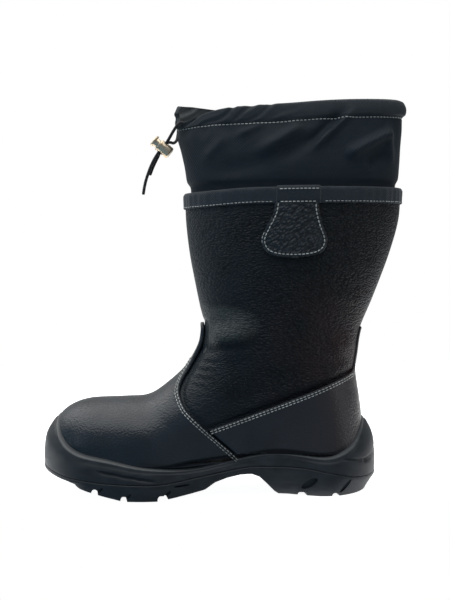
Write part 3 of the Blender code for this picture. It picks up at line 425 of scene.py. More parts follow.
def distance_to_outline(x, z):
    """Shortest distance, in side view, from each point to the front and back lines."""
    points = np.stack([np.ravel(x), np.ravel(z)], axis=1)
    nearest = np.full(len(points), np.inf)
    for line in OUTLINE:
        start, run = line[:-1], np.diff(line, axis=0)
        corner = nearest_index(points, line)
        for segment in (np.maximum(corner - 1, 0), np.minimum(corner, len(run) - 1)):
            gap = points - start[segment]
            along = np.clip((gap * run[segment]).sum(1) / (run[segment] ** 2).sum(1), 0.0, 1.0)
            nearest = np.minimum(nearest, np.linalg.norm(gap - along[:, None] * run[segment], axis=1))
    return nearest.reshape(np.shape(x))


def half_width(x, z):
    """Half width of the upper at a point of its side view: full inside, rounded off towards the outline."""
    rule = smoothstep(SHAFT_STARTS, SHAFT_RULES, z)
    foot = column(FOOT, FOOT_COLUMNS, "half_width", x)
    shaft = column(SHAFT, SHAFT_COLUMNS, "half_width", z)
    depth = column(SHAFT, SHAFT_COLUMNS, "rounding", z)
    rounding = FOOT_ROUNDING + (depth - FOOT_ROUNDING) * rule
    inside = np.clip(distance_to_outline(x, z) / rounding, 0.0, 1.0)
    return (foot + (shaft - foot) * rule) * np.sqrt(1 - (1 - inside) ** 2)


def centre_line(x, z):
    """Left or right curve of the last: the toe turns inwards, and the waist stands outwards over the arch."""
    toe = TOE_IN * (1 - smoothstep(TOE_IN_TO, TOE_IN_FROM, x))
    waist = ARCH_OUT * (1 - smoothstep(0.0, ARCH_REACH, np.abs(x - ARCH_AT)))
    return toe - waist * (1 - smoothstep(*ARCH_FADES, z))


def side_of(angle):
    """1 on the lateral side, -1 on the medial side and 0 on the middle line."""
    return np.sign(np.round(np.sin(angle), 9))


def side_view(t, angle):
    """Station and height of the upper's section t. The angle runs from the heel round the lateral side."""
    front_x, front_z, back_x, back_z, dip = section(t)
    share = (1 - np.cos(angle)) / 2
    x = back_x + (front_x - back_x) * share
    z = back_z + (front_z - back_z) * share - dip * spline(DIP_AT, DIP_SHARE, share)
    return x, z


def upper_surface(t, angle):
    """Points of the upper's outer face at section t."""
    t, angle = np.broadcast_arrays(np.asarray(t, float), np.asarray(angle, float))
    x, z = side_view(t, angle)
    tuck = 1 - FEATHER_TUCK * np.clip(1 - t, 0.0, 1.0) ** 2
    y = centre_line(x, z) - side_of(angle) * half_width(x, z) * tuck
    return np.stack([x, y, z], axis=-1)


def normals_of(points, wraps=True):
    """Outward unit normals of points[row, column], whose rows go up the boot and columns round it."""
    if wraps:
        wide = np.concatenate([points[:, -2:-1], points, points[:, 1:2]], axis=1)
        around = wide[:, 2:] - wide[:, :-2]
    else:
        around = np.gradient(points, axis=1)
    normals = np.cross(np.gradient(points, axis=0), around)
    return normals / np.maximum(np.linalg.norm(normals, axis=-1, keepdims=True), 1e-9)


def on_side(x, z, offset=0.0, side=-1):
    """Points over one side of the upper, and their outward normals, from station and height."""
    x, z = np.broadcast_arrays(np.asarray(x, float), np.asarray(z, float))

    def face(at_x, at_z):
        return centre_line(at_x, at_z) + side * half_width(at_x, at_z)

    y = face(x, z)
    slope_x = (face(x + 0.3, z) - face(x - 0.3, z)) / 0.6
    slope_z = (face(x, z + 0.3) - face(x, z - 0.3)) / 0.6
    normals = unit(np.stack([-side * slope_x, np.full_like(y, side), -side * slope_z], axis=-1))
    return np.stack([x, y, z], axis=-1) + normals * np.asarray(offset)[..., None], normals


def creased(x, z, table, names=CREASE_COLUMNS):
    """Height of the soft ridges and troughs of a table at points of the side view."""
    total = np.zeros(np.shape(x))
    for row in table:
        crease = dict(zip(names, row))
        start = np.array((crease["from_x"], crease["from_z"]))
        run = np.array((crease["to_x"], crease["to_z"])) - start
        length = np.hypot(*run)
        along = ((x - start[0]) * run[0] + (z - start[1]) * run[1]) / length
        across = ((x - start[0]) * run[1] - (z - start[1]) * run[0]) / length
        taper = smoothstep(*CREASE_STARTS, along / length) * (1 - smoothstep(*CREASE_ENDS, along / length))
        total += crease["height"] * bell(across, 0.0, crease["width"]) * taper
    return total


def seam_trough(x, z, line, reach, depth):
    """Depth by which the leather sinks beside a panel's seam, given as points of the side view."""
    points = np.stack([np.ravel(x), np.ravel(z)], axis=1)
    gap = np.linalg.norm(points - line[nearest_index(points, line)], axis=1).reshape(np.shape(x))
    return depth * bell(gap, 0.0, reach)


def vamp_station(z):
    return column(VAMP_SEAM, VAMP_SEAM_COLUMNS, "station", z)


def counter_height(x):
    return column(COUNTER_SEAM, COUNTER_SEAM_COLUMNS, "height", np.minimum(x, COUNTER_SEAM[-1, 0]))


def wall_column(name, angle):
    """A column of the sole wall's table, the same on the lateral and the medial side."""
    return column(WALL, WALL_COLUMNS, name, degrees_from_heel(angle))


def ring_outwards(level, angle, middle_x):
    """Points of a ring of the upper and its outward directions in plan."""
    step = 0.01
    points = upper_surface(level, angle)
    ahead = upper_surface(level, angle + step) - upper_surface(level, angle - step)
    outwards = unit(np.stack([-ahead[:, 1], ahead[:, 0], np.zeros(len(angle))], axis=1))
    from_middle = points - (middle_x, 0.0, 0.0)
    return points, outwards * np.sign((from_middle * outwards).sum(axis=1).mean())


def sole_outline(angle):
    """Points of the upper's widest ring and its outward directions in plan."""
    return ring_outwards(np.ones_like(angle), angle, SOLE_MIDDLE)


def parting_height(x):
    return column(PARTING, PARTING_COLUMNS, "height", x)


def ground_height(x):
    return np.interp(x, GROUND[:, 0], GROUND[:, GROUND_COLUMNS.index("height")])


# Meshes


def to_world(points):
    """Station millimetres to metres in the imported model's frame."""
    return np.asarray(points) * MM + SHIFT


def cloth_lengths(points):
    """Lengths along and up a grid of points, in metres, for a cloth's own map."""
    around = np.linalg.norm(np.diff(points, axis=1), axis=2).mean(axis=0)
    upwards = np.linalg.norm(np.diff(points, axis=0), axis=2).mean(axis=1)
    across = np.concatenate([[0.0], np.cumsum(around)]) * MM
    up = np.concatenate([[0.0], np.cumsum(upwards)]) * MM
    return across, up


def mesh_from(bm, name="cutter"):
    """The mesh of a finished bmesh, with its faces turned outwards."""
    bmesh.ops.recalc_face_normals(bm, faces=bm.faces[:])
    mesh = bpy.data.meshes.new(name)
    bm.to_mesh(mesh)
    bm.free()
    return mesh


def laid_grid(name, points, inner_from=None, painted_shading=None):
    """Mesh of a grid laid on points[row, column]. Borders that meet are merged, and faces turn outwards."""
    rows, columns = points.shape[0] - 1, points.shape[1] - 1
    places = to_world(points)
    across, up = cloth_lengths(points)

    def cell(vert):
        return round((vert.co.y + 0.5) * rows), round((vert.co.x + 0.5) * columns)

    bm = bmesh.new()
    cloth_map = bm.loops.layers.uv.new("UVMap")
    bmesh.ops.create_grid(bm, x_segments=columns, y_segments=rows, size=0.5, calc_uvs=True)
    for face in bm.faces:
        for loop in face.loops:
            row, col = cell(loop.vert)
            loop[cloth_map].uv = (across[col], up[row])
        if inner_from is not None:
            face.material_index = int((face.calc_center_median().y + 0.5) * rows > inner_from)
    # Each point may hold a share of painted light and shade for its finish
    painted_shading_share = bm.verts.layers.float.new("painted_shading") if painted_shading is not None else None
    for vert in bm.verts:
        row, col = cell(vert)
        vert.co = places[row, col]
        if painted_shading_share:
            vert[painted_shading_share] = painted_shading[row, col]
    bmesh.ops.remove_doubles(bm, verts=bm.verts[:], dist=2e-6)
    mesh = mesh_from(bm, name)
    mesh.shade_smooth()
    return mesh


def add_piece(name, mesh, finishes, nodes, body="boot"):
    """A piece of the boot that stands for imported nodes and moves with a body."""
    for finish in finishes:
        mesh.materials.append(finish)
    obj = bpy.data.objects.new(name, mesh)
    bpy.context.scene.collection.objects.link(obj)
    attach(obj, body)
    if nodes:
        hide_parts(*nodes)
    return obj


def full_turn(count):
    return np.linspace(0.0, 2 * math.pi, count + 1)


def shell(outer, inner):
    """Rows up an outer face, down an inner one and back to the first row."""
    return np.concatenate([outer, inner[::-1], outer[:1]])


# Finishes


class Nodes:
    """A node tree, with short ways to add the nodes of a pattern."""

    def __init__(self, tree):
        self.tree = tree

    def set(self, node, values):
        """Give a node's inputs their values, or link them where a value is a socket."""
        for name, value in values.items():
            if isinstance(value, bpy.types.NodeSocket):
                self.tree.links.new(value, node.inputs[name])
            else:
                node.inputs[name].default_value = value
        return node

    def node(self, kind, values=None, **options):
        made = self.tree.nodes.new(kind)
        for name, value in options.items():
            setattr(made, name, value)
        return self.set(made, values or {})

    def split(self, vector):
        return self.node("ShaderNodeSeparateXYZ", {"Vector": vector}).outputs

    def vector(self, operation, first, second):
        made = self.node("ShaderNodeVectorMath", {0: first, 1: second}, operation=operation)
        return made.outputs["Value" if operation == "DOT_PRODUCT" else "Vector"]

    def math(self, operation, first, second):
        return self.node("ShaderNodeMath", {0: first, 1: second}, operation=operation).outputs[0]

    def product(self, first, *others):
        for other in others:
            first = self.math("MULTIPLY", first, other)
        return first

    def span(self, value, low, high, to_low=0.0, to_high=1.0, **options):
        values = {"Value": value, "From Min": low, "From Max": high, "To Min": to_low, "To Max": to_high}
        return self.node("ShaderNodeMapRange", values, **options).outputs["Result"]

    def mix(self, share, first, second):
        """A colour between two others, given as colours or sockets."""
        return self.node("ShaderNodeMix", {0: share, 6: first, 7: second}, data_type="RGBA").outputs[2]


class Finish(Nodes):
    """A procedural material: a shader with its patterns on object coordinates or on the piece's own map."""

    def __init__(self, name, roughness, metallic=0.0, specular=0.5, coat=0.0, coat_roughness=0.3, sheen=0.0):
        self.made = bpy.data.materials.new(name)
        self.made.use_nodes = True
        super().__init__(self.made.node_tree)
        self.shader = self.tree.nodes["Principled BSDF"]
        self.set(self.shader, {"Roughness": roughness, "Metallic": metallic, "Specular IOR Level": specular,
                               "Coat Weight": coat, "Coat Roughness": coat_roughness, "Sheen Weight": sheen})
        self.height = None

    def place(self, scale=(1, 1, 1), turn=(0, 0, 0), source="Object"):
        """Coordinates stretched and turned for a pattern."""
        coordinates = self.node("ShaderNodeTexCoord").outputs[source]
        mapping = self.node("ShaderNodeMapping", {"Vector": coordinates, "Scale": scale, "Rotation": turn})
        return mapping.outputs["Vector"]

    def noise(self, vector, scale, detail=2.0, distortion=0.0):
        values = {"Vector": vector, "Scale": scale, "Detail": detail, "Distortion": distortion}
        return self.node("ShaderNodeTexNoise", values).outputs["Fac"]

    def cells(self, vector, scale, smoothness=0.6):
        values = {"Vector": vector, "Scale": scale, "Smoothness": smoothness}
        return self.node("ShaderNodeTexVoronoi", values, feature="SMOOTH_F1").outputs["Distance"]

    def wave(self, vector, scale, direction="X", distortion=0.0):
        values = {"Vector": vector, "Scale": scale, "Distortion": distortion, "Detail": 0.0}
        return self.node("ShaderNodeTexWave", values, bands_direction=direction).outputs["Fac"]

    def painted_shading(self):
        """The share of painted light and shade that the piece's own points hold."""
        return self.node("ShaderNodeAttribute", attribute_name="painted_shading").outputs["Fac"]

    def bump(self, height, distance, strength=1.0, invert=False):
        """One more layer of relief, over those already there."""
        values = {"Height": height, "Distance": distance, "Strength": strength}
        if self.height is not None:
            values["Normal"] = self.height
        self.height = self.node("ShaderNodeBump", values, invert=invert).outputs["Normal"]
        self.set(self.shader, {"Normal": self.height})

    def colour(self, value):
        self.set(self.shader, {"Base Color": value})

    def roughness(self, value):
        self.set(self.shader, {"Roughness": value})


def colours():
    return bpy.context.scene.work_boot_colours


def sizes():
    return bpy.context.scene.work_boot_sizes


def tint(base, factor, warmth=0.0):
    """A lighter or darker neighbour of a colour, moved towards red by its warmth."""
    return (base[0] * factor * (1 + warmth), base[1] * factor, base[2] * factor * (1 - warmth), 1.0)


def scaled(base, shares):
    """A colour whose red, green and blue are each taken at a share."""
    return (*(part * share for part, share in zip(base, shares)), 1.0)


def ankle_painted_highlight(finish, plain, clouds, grain):
    """Share of the painted highlight: a pale slanting oval on the lateral side of the ankle, between the
    grains.
    """
    gap = finish.vector("SUBTRACT", plain, tuple(to_world(PAINTED_HIGHLIGHT_PLACE)))
    along = finish.vector("DOT_PRODUCT", gap, (1 / PAINTED_HIGHLIGHT_LENGTH, 0.0, 0.0))
    upwards = finish.vector("DOT_PRODUCT", gap, (-PAINTED_HIGHLIGHT_SLOPE / PAINTED_HIGHLIGHT_HEIGHT, 0.0, 1 / PAINTED_HIGHLIGHT_HEIGHT))
    oval = finish.math("ADD", finish.product(along, along), finish.product(upwards, upwards))
    ragged = finish.math("ADD", oval, finish.span(clouds, 0.3, 0.7, -0.2, 0.2))
    return finish.product(finish.span(ragged, 1.05, 0.5), finish.span(grain, 0.8, 0.15, 0.35, 1.0),
                          finish.span(finish.split(plain)["Y"], 0.0, -0.02))


def pebbled_leather(name, base, specular, cells, relief, turn):
    """Pebbled leather, smoother where it flexes, redder towards the heel, with painted cool light on its
    front, painted light and shade on its grain and a painted highlight on the ankle.
    """
    finish = Finish(name, 0.5, specular=specular, coat=0.06, coat_roughness=0.4)
    plain = finish.place()
    level = finish.place(turn=(0.0, turn, 0.0))
    x, _, z = finish.split(plain)
    shove = finish.vector("MULTIPLY", finish.noise(plain, cells * 0.35, 2.0), (0.7 / cells,) * 3)
    bent = finish.vector("ADD", finish.vector("MULTIPLY", level, (0.7, 0.8, 1.15)), shove)
    grain = finish.cells(bent, cells)
    wrinkles = finish.noise(finish.vector("MULTIPLY", level, (0.35, 0.5, 1.2)), cells * 0.6, 2.0, 0.8)
    fine = finish.noise(plain, 2600.0, 2.0)
    clouds = finish.noise(plain, 26.0, 3.0)
    flexed = finish.product(finish.span(x, *FLEX_X), finish.span(z, *FLEX_Z))
    finish.bump(wrinkles, relief, finish.span(flexed, 0.0, 1.0, 0.6, 0.25))
    finish.bump(grain, relief, finish.span(flexed, 0.0, 1.0, 0.85, 0.4), invert=True)
    finish.bump(fine, 0.00008, 0.4)
    # Painted cool light: the front of the shaft lighter in patches, as though lit from the left
    painted_cool_light = finish.product(finish.span(x, *PAINTED_COOL_LIGHT_X), finish.span(clouds, 0.25, 0.6))
    warm = finish.product(finish.span(x, *WARM_X), finish.span(clouds, 0.3, 0.55), finish.span(z, *WARM_Z))
    # The grain's colour: pebble tops lighter and hollows darker, partly the grain's own tone and partly
    # painted light and painted shade
    shade = finish.mix(finish.span(grain, 0.1, 0.65), tint(base, 1.6), tint(base, 0.25))
    shade = finish.mix(painted_cool_light, shade, tint(base, 2.6))
    shade = finish.mix(warm, shade, scaled(base, SHAFT_WARMTH))
    # Painted highlight: a pale oval on the ankle
    finish.colour(finish.mix(ankle_painted_highlight(finish, plain, clouds, grain), shade, PAINTED_HIGHLIGHT))
    finish.roughness(finish.span(finish.math("ADD", grain, clouds), 0.5, 1.3, 0.36, 0.56))
    return finish.made


def panel_leather():
    """Finely grained leather of vamp and counter, warmer at the heel, with a matt line of painted shade just
    over the sole.
    """
    finish = Finish("panel_leather", 0.44, specular=0.45, coat=0.1, coat_roughness=0.35)
    base = tuple(colours().panel)
    plain = finish.place()
    grain = finish.cells(finish.place((0.8, 0.8, 1.0)), 640.0)
    fine = finish.noise(plain, 3200.0, 2.0)
    soft = finish.noise(plain, 120.0, 3.0)
    finish.bump(soft, 0.0004, 0.3)
    finish.bump(grain, 0.0005, 0.6, invert=True)
    finish.bump(fine, 0.00005, 0.35)
    clouds = finish.noise(plain, 34.0, 4.0)
    shade = finish.mix(finish.span(clouds, 0.35, 0.7), tint(base, 0.85), tint(base, 1.3))
    warm = finish.span(finish.split(plain)["X"], 0.02, 0.11)
    shade = finish.mix(warm, shade, scaled(base, PANEL_WARMTH))
    # Painted shade: a dark, matt line just over the sole's rim
    painted_shade = finish.painted_shading()
    finish.colour(finish.mix(painted_shade, shade, PAINTED_SHADE_COLOUR))
    dull = finish.span(finish.math("ADD", soft, fine), 0.7, 1.3, 0.28, 0.42)
    finish.roughness(finish.math("MAXIMUM", dull, painted_shade))
    return finish.made


def sole_rubber():
    """Satin moulded sole with a fine matt skin and faint handling marks, with a painted highlight along its
    rim, a little glossier there.
    """
    finish = Finish("sole_rubber", 0.5, specular=0.45)
    base = tuple(colours().sole)
    plain = finish.place()
    skin = finish.noise(plain, 1500.0, 3.0)
    marks = finish.noise(finish.place((1.0, 1.0, 2.4)), 60.0, 4.0, 0.5)
    finish.bump(marks, 0.0003, 0.25)
    finish.bump(skin, 0.00008, 0.4)
    # Painted highlight along the rim's bead, broken up by the handling marks
    pale = finish.product(finish.painted_shading(), finish.span(marks, 0.3, 0.6, 0.55, 1.0))
    shade = finish.mix(finish.span(marks, 0.35, 0.7), tint(base, 0.8), tint(base, 1.35))
    finish.colour(finish.mix(pale, shade, RIM_PAINTED_HIGHLIGHT))
    matt = finish.math("SUBTRACT", marks, finish.product(pale, 0.3))
    finish.roughness(finish.span(matt, 0.0, 0.7, 0.3, 0.6))
    return finish.made


def cuff_nylon():
    """Coated nylon with a fine diagonal rib and soft slack places, with painted light along its doubled hem.
    """
    finish = Finish("cuff_nylon", 0.55, specular=0.2)
    base = tuple(colours().cuff)
    threads = finish.place(source="UV")
    weft = finish.wave(threads, 300.0, "Y", 0.3)
    twill = finish.wave(threads, 230.0, "DIAGONAL", 0.5)
    slack = finish.noise(finish.place(), 55.0, 3.0, 0.4)
    small = finish.noise(finish.place((1.0, 1.0, 0.7)), 170.0, 3.0, 0.6)
    finish.bump(slack, 0.0016, 0.4)
    finish.bump(small, 0.0007, 0.4)
    finish.bump(finish.product(twill, weft), 0.0003, 0.9)
    clouds = finish.noise(finish.place(), 18.0, 2.0)
    shade = finish.mix(twill, tint(base, 0.8), tint(base, 1.25))
    shade = finish.mix(finish.span(clouds, 0.3, 0.7), shade, tint(base, 1.1, 0.12))
    # Painted light on the doubled hem
    finish.colour(finish.mix(finish.painted_shading(), shade, HEM_PAINTED_LIGHT))
    finish.roughness(finish.span(twill, 0.0, 1.0, 0.48, 0.64))
    return finish.made


def binding_twill():
    """Matt twill tape with uneven threads."""
    finish = Finish("binding_twill", 0.72, specular=0.35, sheen=0.15)
    base = tuple(colours().binding)
    threads = finish.place(source="UV")
    twill = finish.wave(threads, 260.0, "DIAGONAL", 0.6)
    cross = finish.wave(threads, 420.0, "X", 0.3)
    fuzz = finish.noise(threads, 2400.0, 2.0)
    finish.bump(twill, 0.00025, 0.6)
    finish.bump(cross, 0.0001, 0.35)
    finish.bump(fuzz, 0.0001, 0.3)
    slubs = finish.noise(threads, 700.0, 3.0)
    weave = finish.math("ADD", finish.span(twill, 0.0, 1.0, 0.0, 0.4), finish.span(slubs, 0.3, 0.7, 0.0, 0.6))
    finish.bump(slubs, 0.0005, 0.5)
    finish.colour(finish.mix(weave, tint(base, 0.45), tint(base, 1.65)))
    finish.roughness(finish.span(fuzz, 0.3, 0.7, 0.62, 0.8))
    return finish.made


def felt(name, base):
    """Short matted felt for the lining and the footbed."""
    finish = Finish(name, 0.92, specular=0.2, sheen=0.35)
    plain = finish.place()
    nap = finish.noise(plain, 900.0, 4.0, 0.8)
    tufts = finish.noise(plain, 160.0, 3.0)
    finish.bump(tufts, 0.0008, 0.4)
    finish.bump(nap, 0.0005, 0.7)
    finish.colour(finish.mix(finish.span(nap, 0.3, 0.7), tint(base, 0.65), tint(base, 1.35)))
    return finish.made


def thread():
    """Pale twisted sewing thread."""
    finish = Finish("thread", 0.6, specular=0.35, sheen=0.2)
    base = tuple(colours().thread)
    plain = finish.place()
    twist = finish.noise(plain, 2200.0, 2.0)
    dirt = finish.noise(plain, 70.0, 3.0)
    finish.bump(twist, 0.0002, 0.6)
    worn = finish.mix(finish.span(dirt, 0.35, 0.65), tint(base, 0.7), tint(base, 1.1))
    low_down = finish.span(finish.split(plain)["Z"], 0.035, 0.07)
    finish.colour(finish.mix(low_down, tint(base, 0.4), worn))
    return finish.made


def cord_braid():
    """Round braided cord."""
    finish = Finish("cord_braid", 0.68, specular=0.35, sheen=0.2)
    base = tuple(colours().cord)
    ways = [finish.place(turn=(0, 0, math.radians(lean)), source="UV") for lean in (35, -35)]
    plait = finish.math("MAXIMUM", *(finish.wave(way, 330.0) for way in ways))
    fuzz = finish.noise(finish.place(), 3000.0, 2.0)
    finish.bump(plait, 0.0003, 0.8)
    finish.bump(fuzz, 0.0001, 0.3)
    finish.colour(finish.mix(plait, tint(base, 0.45), tint(base, 1.4)))
    return finish.made


def lock_nickel():
    """Bright plated lock with rubbed, slightly yellow places."""
    finish = Finish("lock_nickel", 0.22, metallic=0.9)
    base = tuple(colours().lock)
    plain = finish.place()
    wear = finish.noise(plain, 420.0, 4.0)
    scratches = finish.noise(finish.place((0.25, 1.0, 1.0)), 2600.0, 3.0)
    finish.bump(scratches, 0.00003, 0.35)
    finish.colour(finish.mix(finish.span(wear, 0.35, 0.7), tint(base, 1.0), tint(base, 0.62, 0.1)))
    finish.roughness(finish.span(finish.math("ADD", wear, scratches), 0.7, 1.3, 0.14, 0.38))
    return finish.made


def stage_floor():
    """Pale even floor with a faint mottle."""
    finish = Finish("stage_floor", 0.9, specular=0.1)
    mottle = finish.noise(finish.place(), 3.0, 2.0)
    finish.colour(finish.mix(mottle, (0.93, 0.93, 0.93, 1.0), (0.97, 0.97, 0.97, 1.0)))
    finish.set(finish.shader, {"Emission Color": WHITE, "Emission Strength": 0.92})
    return finish.made


FINISHES = {}


def finish_named(name, maker, *words, **options):
    """A finish that pieces share, made once."""
    if name not in FINISHES:
        FINISHES[name] = maker(*words, **options)
    return FINISHES[name]


class BootSizes(bpy.types.PropertyGroup):
    """Thicknesses and small sizes of the dressed boot."""

    leather_wall: bpy.props.FloatProperty(
        name="Leather wall", description="Thickness of the upper's leather with its lining",
        default=0.0025, min=0.001, max=0.005, unit="LENGTH")
    panel_proud: bpy.props.FloatProperty(
        name="Panel proud", description="Height of the vamp and the counter over the shaft leather",
        default=0.0018, min=0.0005, max=0.004, unit="LENGTH")
    crease_share: bpy.props.FloatProperty(
        name="Crease depth", description="Share of the drawn depth of the leather's creases",
        default=1.0, min=0.0, max=2.0, subtype="FACTOR")
    wrinkle_share: bpy.props.FloatProperty(
        name="Wrinkle depth", description="Share of the drawn depth of the cuff's wrinkles",
        default=1.5, min=0.0, max=2.0, subtype="FACTOR")
    stitch_pitch: bpy.props.FloatProperty(
        name="Stitch pitch", description="Distance from one stitch to the next",
        default=0.0035, min=0.002, max=0.006, unit="LENGTH")
    thread_radius: bpy.props.FloatProperty(
        name="Thread radius", description="Half the thickness of the sewing thread",
        default=0.00048, min=0.0002, max=0.001, unit="LENGTH")
    cord_diameter: bpy.props.FloatProperty(
        name="Cord diameter", description="Thickness of the drawcord",
        default=0.0028, min=0.0015, max=0.005, unit="LENGTH")


class BootColours(bpy.types.PropertyGroup):
    """Base colours of the boot's finishes."""

    shaft: bpy.props.FloatVectorProperty(
        name="Shaft leather", description="Pebbled leather of the shaft and the pull tab",
        default=(0.0046, 0.0072, 0.0096), subtype="COLOR")
    panel: bpy.props.FloatVectorProperty(
        name="Panel leather", description="Smooth leather of the vamp and the counter",
        default=(0.018, 0.022, 0.028), subtype="COLOR")
    sole: bpy.props.FloatVectorProperty(
        name="Sole", description="Moulded midsole and tread",
        default=(0.024, 0.027, 0.031), subtype="COLOR")
    cuff: bpy.props.FloatVectorProperty(
        name="Snow cuff", description="Nylon of the snow cuff",
        default=(0.0105, 0.0185, 0.028), subtype="COLOR")
    binding: bpy.props.FloatVectorProperty(
        name="Binding", description="Tape round the collar and the pull strap",
        default=(0.022, 0.029, 0.037), subtype="COLOR")
    lining: bpy.props.FloatVectorProperty(
        name="Lining", description="Felt inside the shaft and on the footbed",
        default=(0.05, 0.05, 0.053), subtype="COLOR")
    thread: bpy.props.FloatVectorProperty(
        name="Thread", description="Pale sewing thread",
        default=(0.7, 0.68, 0.62), subtype="COLOR")
    cord: bpy.props.FloatVectorProperty(
        name="Cord", description="Braid of the drawcord",
        default=(0.016, 0.0155, 0.0155), subtype="COLOR")
    lock: bpy.props.FloatVectorProperty(
        name="Cord lock", description="Plating of the cord lock",
        default=(0.84, 0.72, 0.54), subtype="COLOR")


class WORK_BOOT_OT_stage(bpy.types.Operator):
    """Make the camera, the soft studio light and the floor"""

    bl_idname = "work_boot.stage"
    bl_label = "Stage"

    def execute(self, context):
        scene = context.scene
        lens = bpy.data.cameras.new("photo_camera")
        lens.lens = LENS
        lens.sensor_width = SENSOR
        lens.shift_y = LENS_SHIFT
        camera = bpy.data.objects.new("photo_camera", lens)
        camera.location = CAMERA_PLACE
        camera.rotation_euler = (math.radians(90), CAMERA_ROLL, 0.0)
        scene.collection.objects.link(camera)
        scene.camera = camera
        scene.view_settings.view_transform = "Standard"
        self.light_room(scene)
        for row in LIGHTS:
            self.add_light(**dict(zip(LIGHT_COLUMNS, row)))
        bm = bmesh.new()
        spread = Matrix.Translation(FLOOR_MIDDLE) @ Matrix.Diagonal(FLOOR_HALF)
        bmesh.ops.create_grid(bm, x_segments=8, y_segments=8, size=1.0, matrix=spread)
        mesh = bpy.data.meshes.new("floor")
        bm.to_mesh(mesh)
        bm.free()
        mesh.materials.append(finish_named("stage_floor", stage_floor))
        floor = bpy.data.objects.new("floor", mesh)
        scene.collection.objects.link(floor)
        return {"FINISHED"}

    def light_room(self, scene):
        """White room behind and above the boot, dim and cool in front, plain white where it is seen."""
        scene.world = bpy.data.worlds.new("white_room")
        scene.world.use_nodes = True
        room = Nodes(scene.world.node_tree)
        way = room.node("ShaderNodeTexCoord").outputs["Generated"]
        backwards = room.vector("DOT_PRODUCT", way, (0.0, 1.0, 0.9))
        depth = room.span(backwards, 0.25, 0.9, interpolation_type="SMOOTHSTEP")
        front = room.mix(room.span(room.split(way)["X"], -0.7, 0.5), ROOM_LEFT, ROOM_RIGHT)
        seen = room.node("ShaderNodeLightPath").outputs["Is Camera Ray"]
        shown = room.mix(seen, room.mix(depth, front, ROOM_BACK), WHITE)
        room.set(room.tree.nodes["Background"], {"Color": shown})

    def add_light(self, name, place, target, size, power):
        data = bpy.data.lights.new(name, "AREA")
        data.shape = "SQUARE"
        data.size = size
        data.energy = power
        light = bpy.data.objects.new(name, data)
        light.location = place
        light.rotation_euler = (Vector(target) - Vector(place)).to_track_quat("-Z", "Y").to_euler()
        bpy.context.scene.collection.objects.link(light)


def smooth_route(points, count):
    """Evenly spread points on a smooth curve through a route's own points."""
    points = np.array(points)
    along = lengths_along(points)
    at = np.linspace(0.0, along[-1], count)
    return np.stack([spline(along, points[:, i], at) for i in range(3)], axis=1)


class WORK_BOOT_OT_drawcords(bpy.types.Operator):
    """Lay the two ends of the drawcord through the lock"""

    bl_idname = "work_boot.drawcords"
    bl_label = "Drawcord"

    def execute(self, context):
        for name, route in (("drawcord_long", LONG_CORD), ("drawcord_short", SHORT_CORD)):
            self.lay(name, route)
        return {"FINISHED"}

    def lay(self, name, route):
        """A braided tube with rounded ends along a route."""
        line = smooth_route(route, 120)
        radius = sizes().cord_diameter / MM / 2
        heading = unit(np.gradient(line, axis=0))
        side = unit(np.cross(heading, (0.0, 1.0, 0.0)))
        over = np.cross(heading, side)
        angle = full_turn(16)
        ring = (np.cos(angle)[None, :, None] * side[:, None] + np.sin(angle)[None, :, None] * over[:, None])
        tube = line[:, None] + ring * radius
        caps = []
        for end, way in ((0, -1.0), (-1, 1.0)):
            rows = [line[end] + heading[end] * way * radius * h + ring[end] * radius * r
                    for h, r in ((0.4, 0.9), (0.75, 0.6), (0.85, 0.0))]
            caps.append(np.stack(rows))
        points = np.concatenate([caps[0][::-1], tube, caps[1]])
        finish = finish_named("cord_braid", cord_braid)
        cord = add_piece(f"{name}_braid", laid_grid(name, points), [finish], [name])


class WORK_BOOT_OT_cord_lock(bpy.types.Operator):
    """Turn the barrel and the sprung plunger of the cord lock"""

    bl_idname = "work_boot.cord_lock"
    bl_label = "Cord lock"

    def execute(self, context):
        finish = finish_named("lock_nickel", lock_nickel)
        for name, profile, body, top in (("cord_lock_barrel", BARREL, "boot", SLOT_HALF),
                                         ("cord_lock_plunger", PLUNGER, "plunger", SLOT_HALF + PRESS_TRAVEL)):
            mesh = cut_by(self.turned(name, profile), [self.slot(-SLOT_HALF, top)])
            mesh.shade_smooth()
            mesh.set_sharp_from_angle(angle=math.radians(35))
            add_piece(f"{name}_plated", mesh, [finish], [name], body)
        return {"FINISHED"}

    def place(self):
        """Frame of the lock: z along the barrel's axis, x along the cord."""
        axis = Vector(LOCK_AXIS).normalized()
        across = Vector((0.0, 1.0, 0.0))
        turn = Matrix((across.cross(axis), across, axis)).transposed().to_4x4()
        return Matrix.Translation(Vector(to_world(LOCK_AT))) @ turn

    def turned(self, name, profile):
        bm = bmesh.new()
        points = [bm.verts.new((r * MM, 0.0, h * MM)) for r, h in profile]
        edges = [bm.edges.new(pair) for pair in zip(points[:-1], points[1:])]
        bmesh.ops.spin(bm, geom=points + edges, cent=(0, 0, 0), axis=(0, 0, 1), angle=2 * math.pi, steps=48,
                       use_merge=True)
        bmesh.ops.remove_doubles(bm, verts=bm.verts[:], dist=1e-7)
        bmesh.ops.transform(bm, matrix=self.place(), verts=bm.verts[:])
        return mesh_from(bm, name)

    def slot(self, low, high):
        """The cords' slot across a turned piece."""
        size = Matrix.Diagonal((SLOT_LENGTH * MM, SLOT_WIDTH * MM, (high - low) * MM, 1.0))
        middle = Matrix.Translation((0.0, 0.0, (low + high) / 2 * MM))
        bm = bmesh.new()
        bmesh.ops.create_cube(bm, size=1.0, matrix=self.place() @ middle @ size)
        return mesh_from(bm)


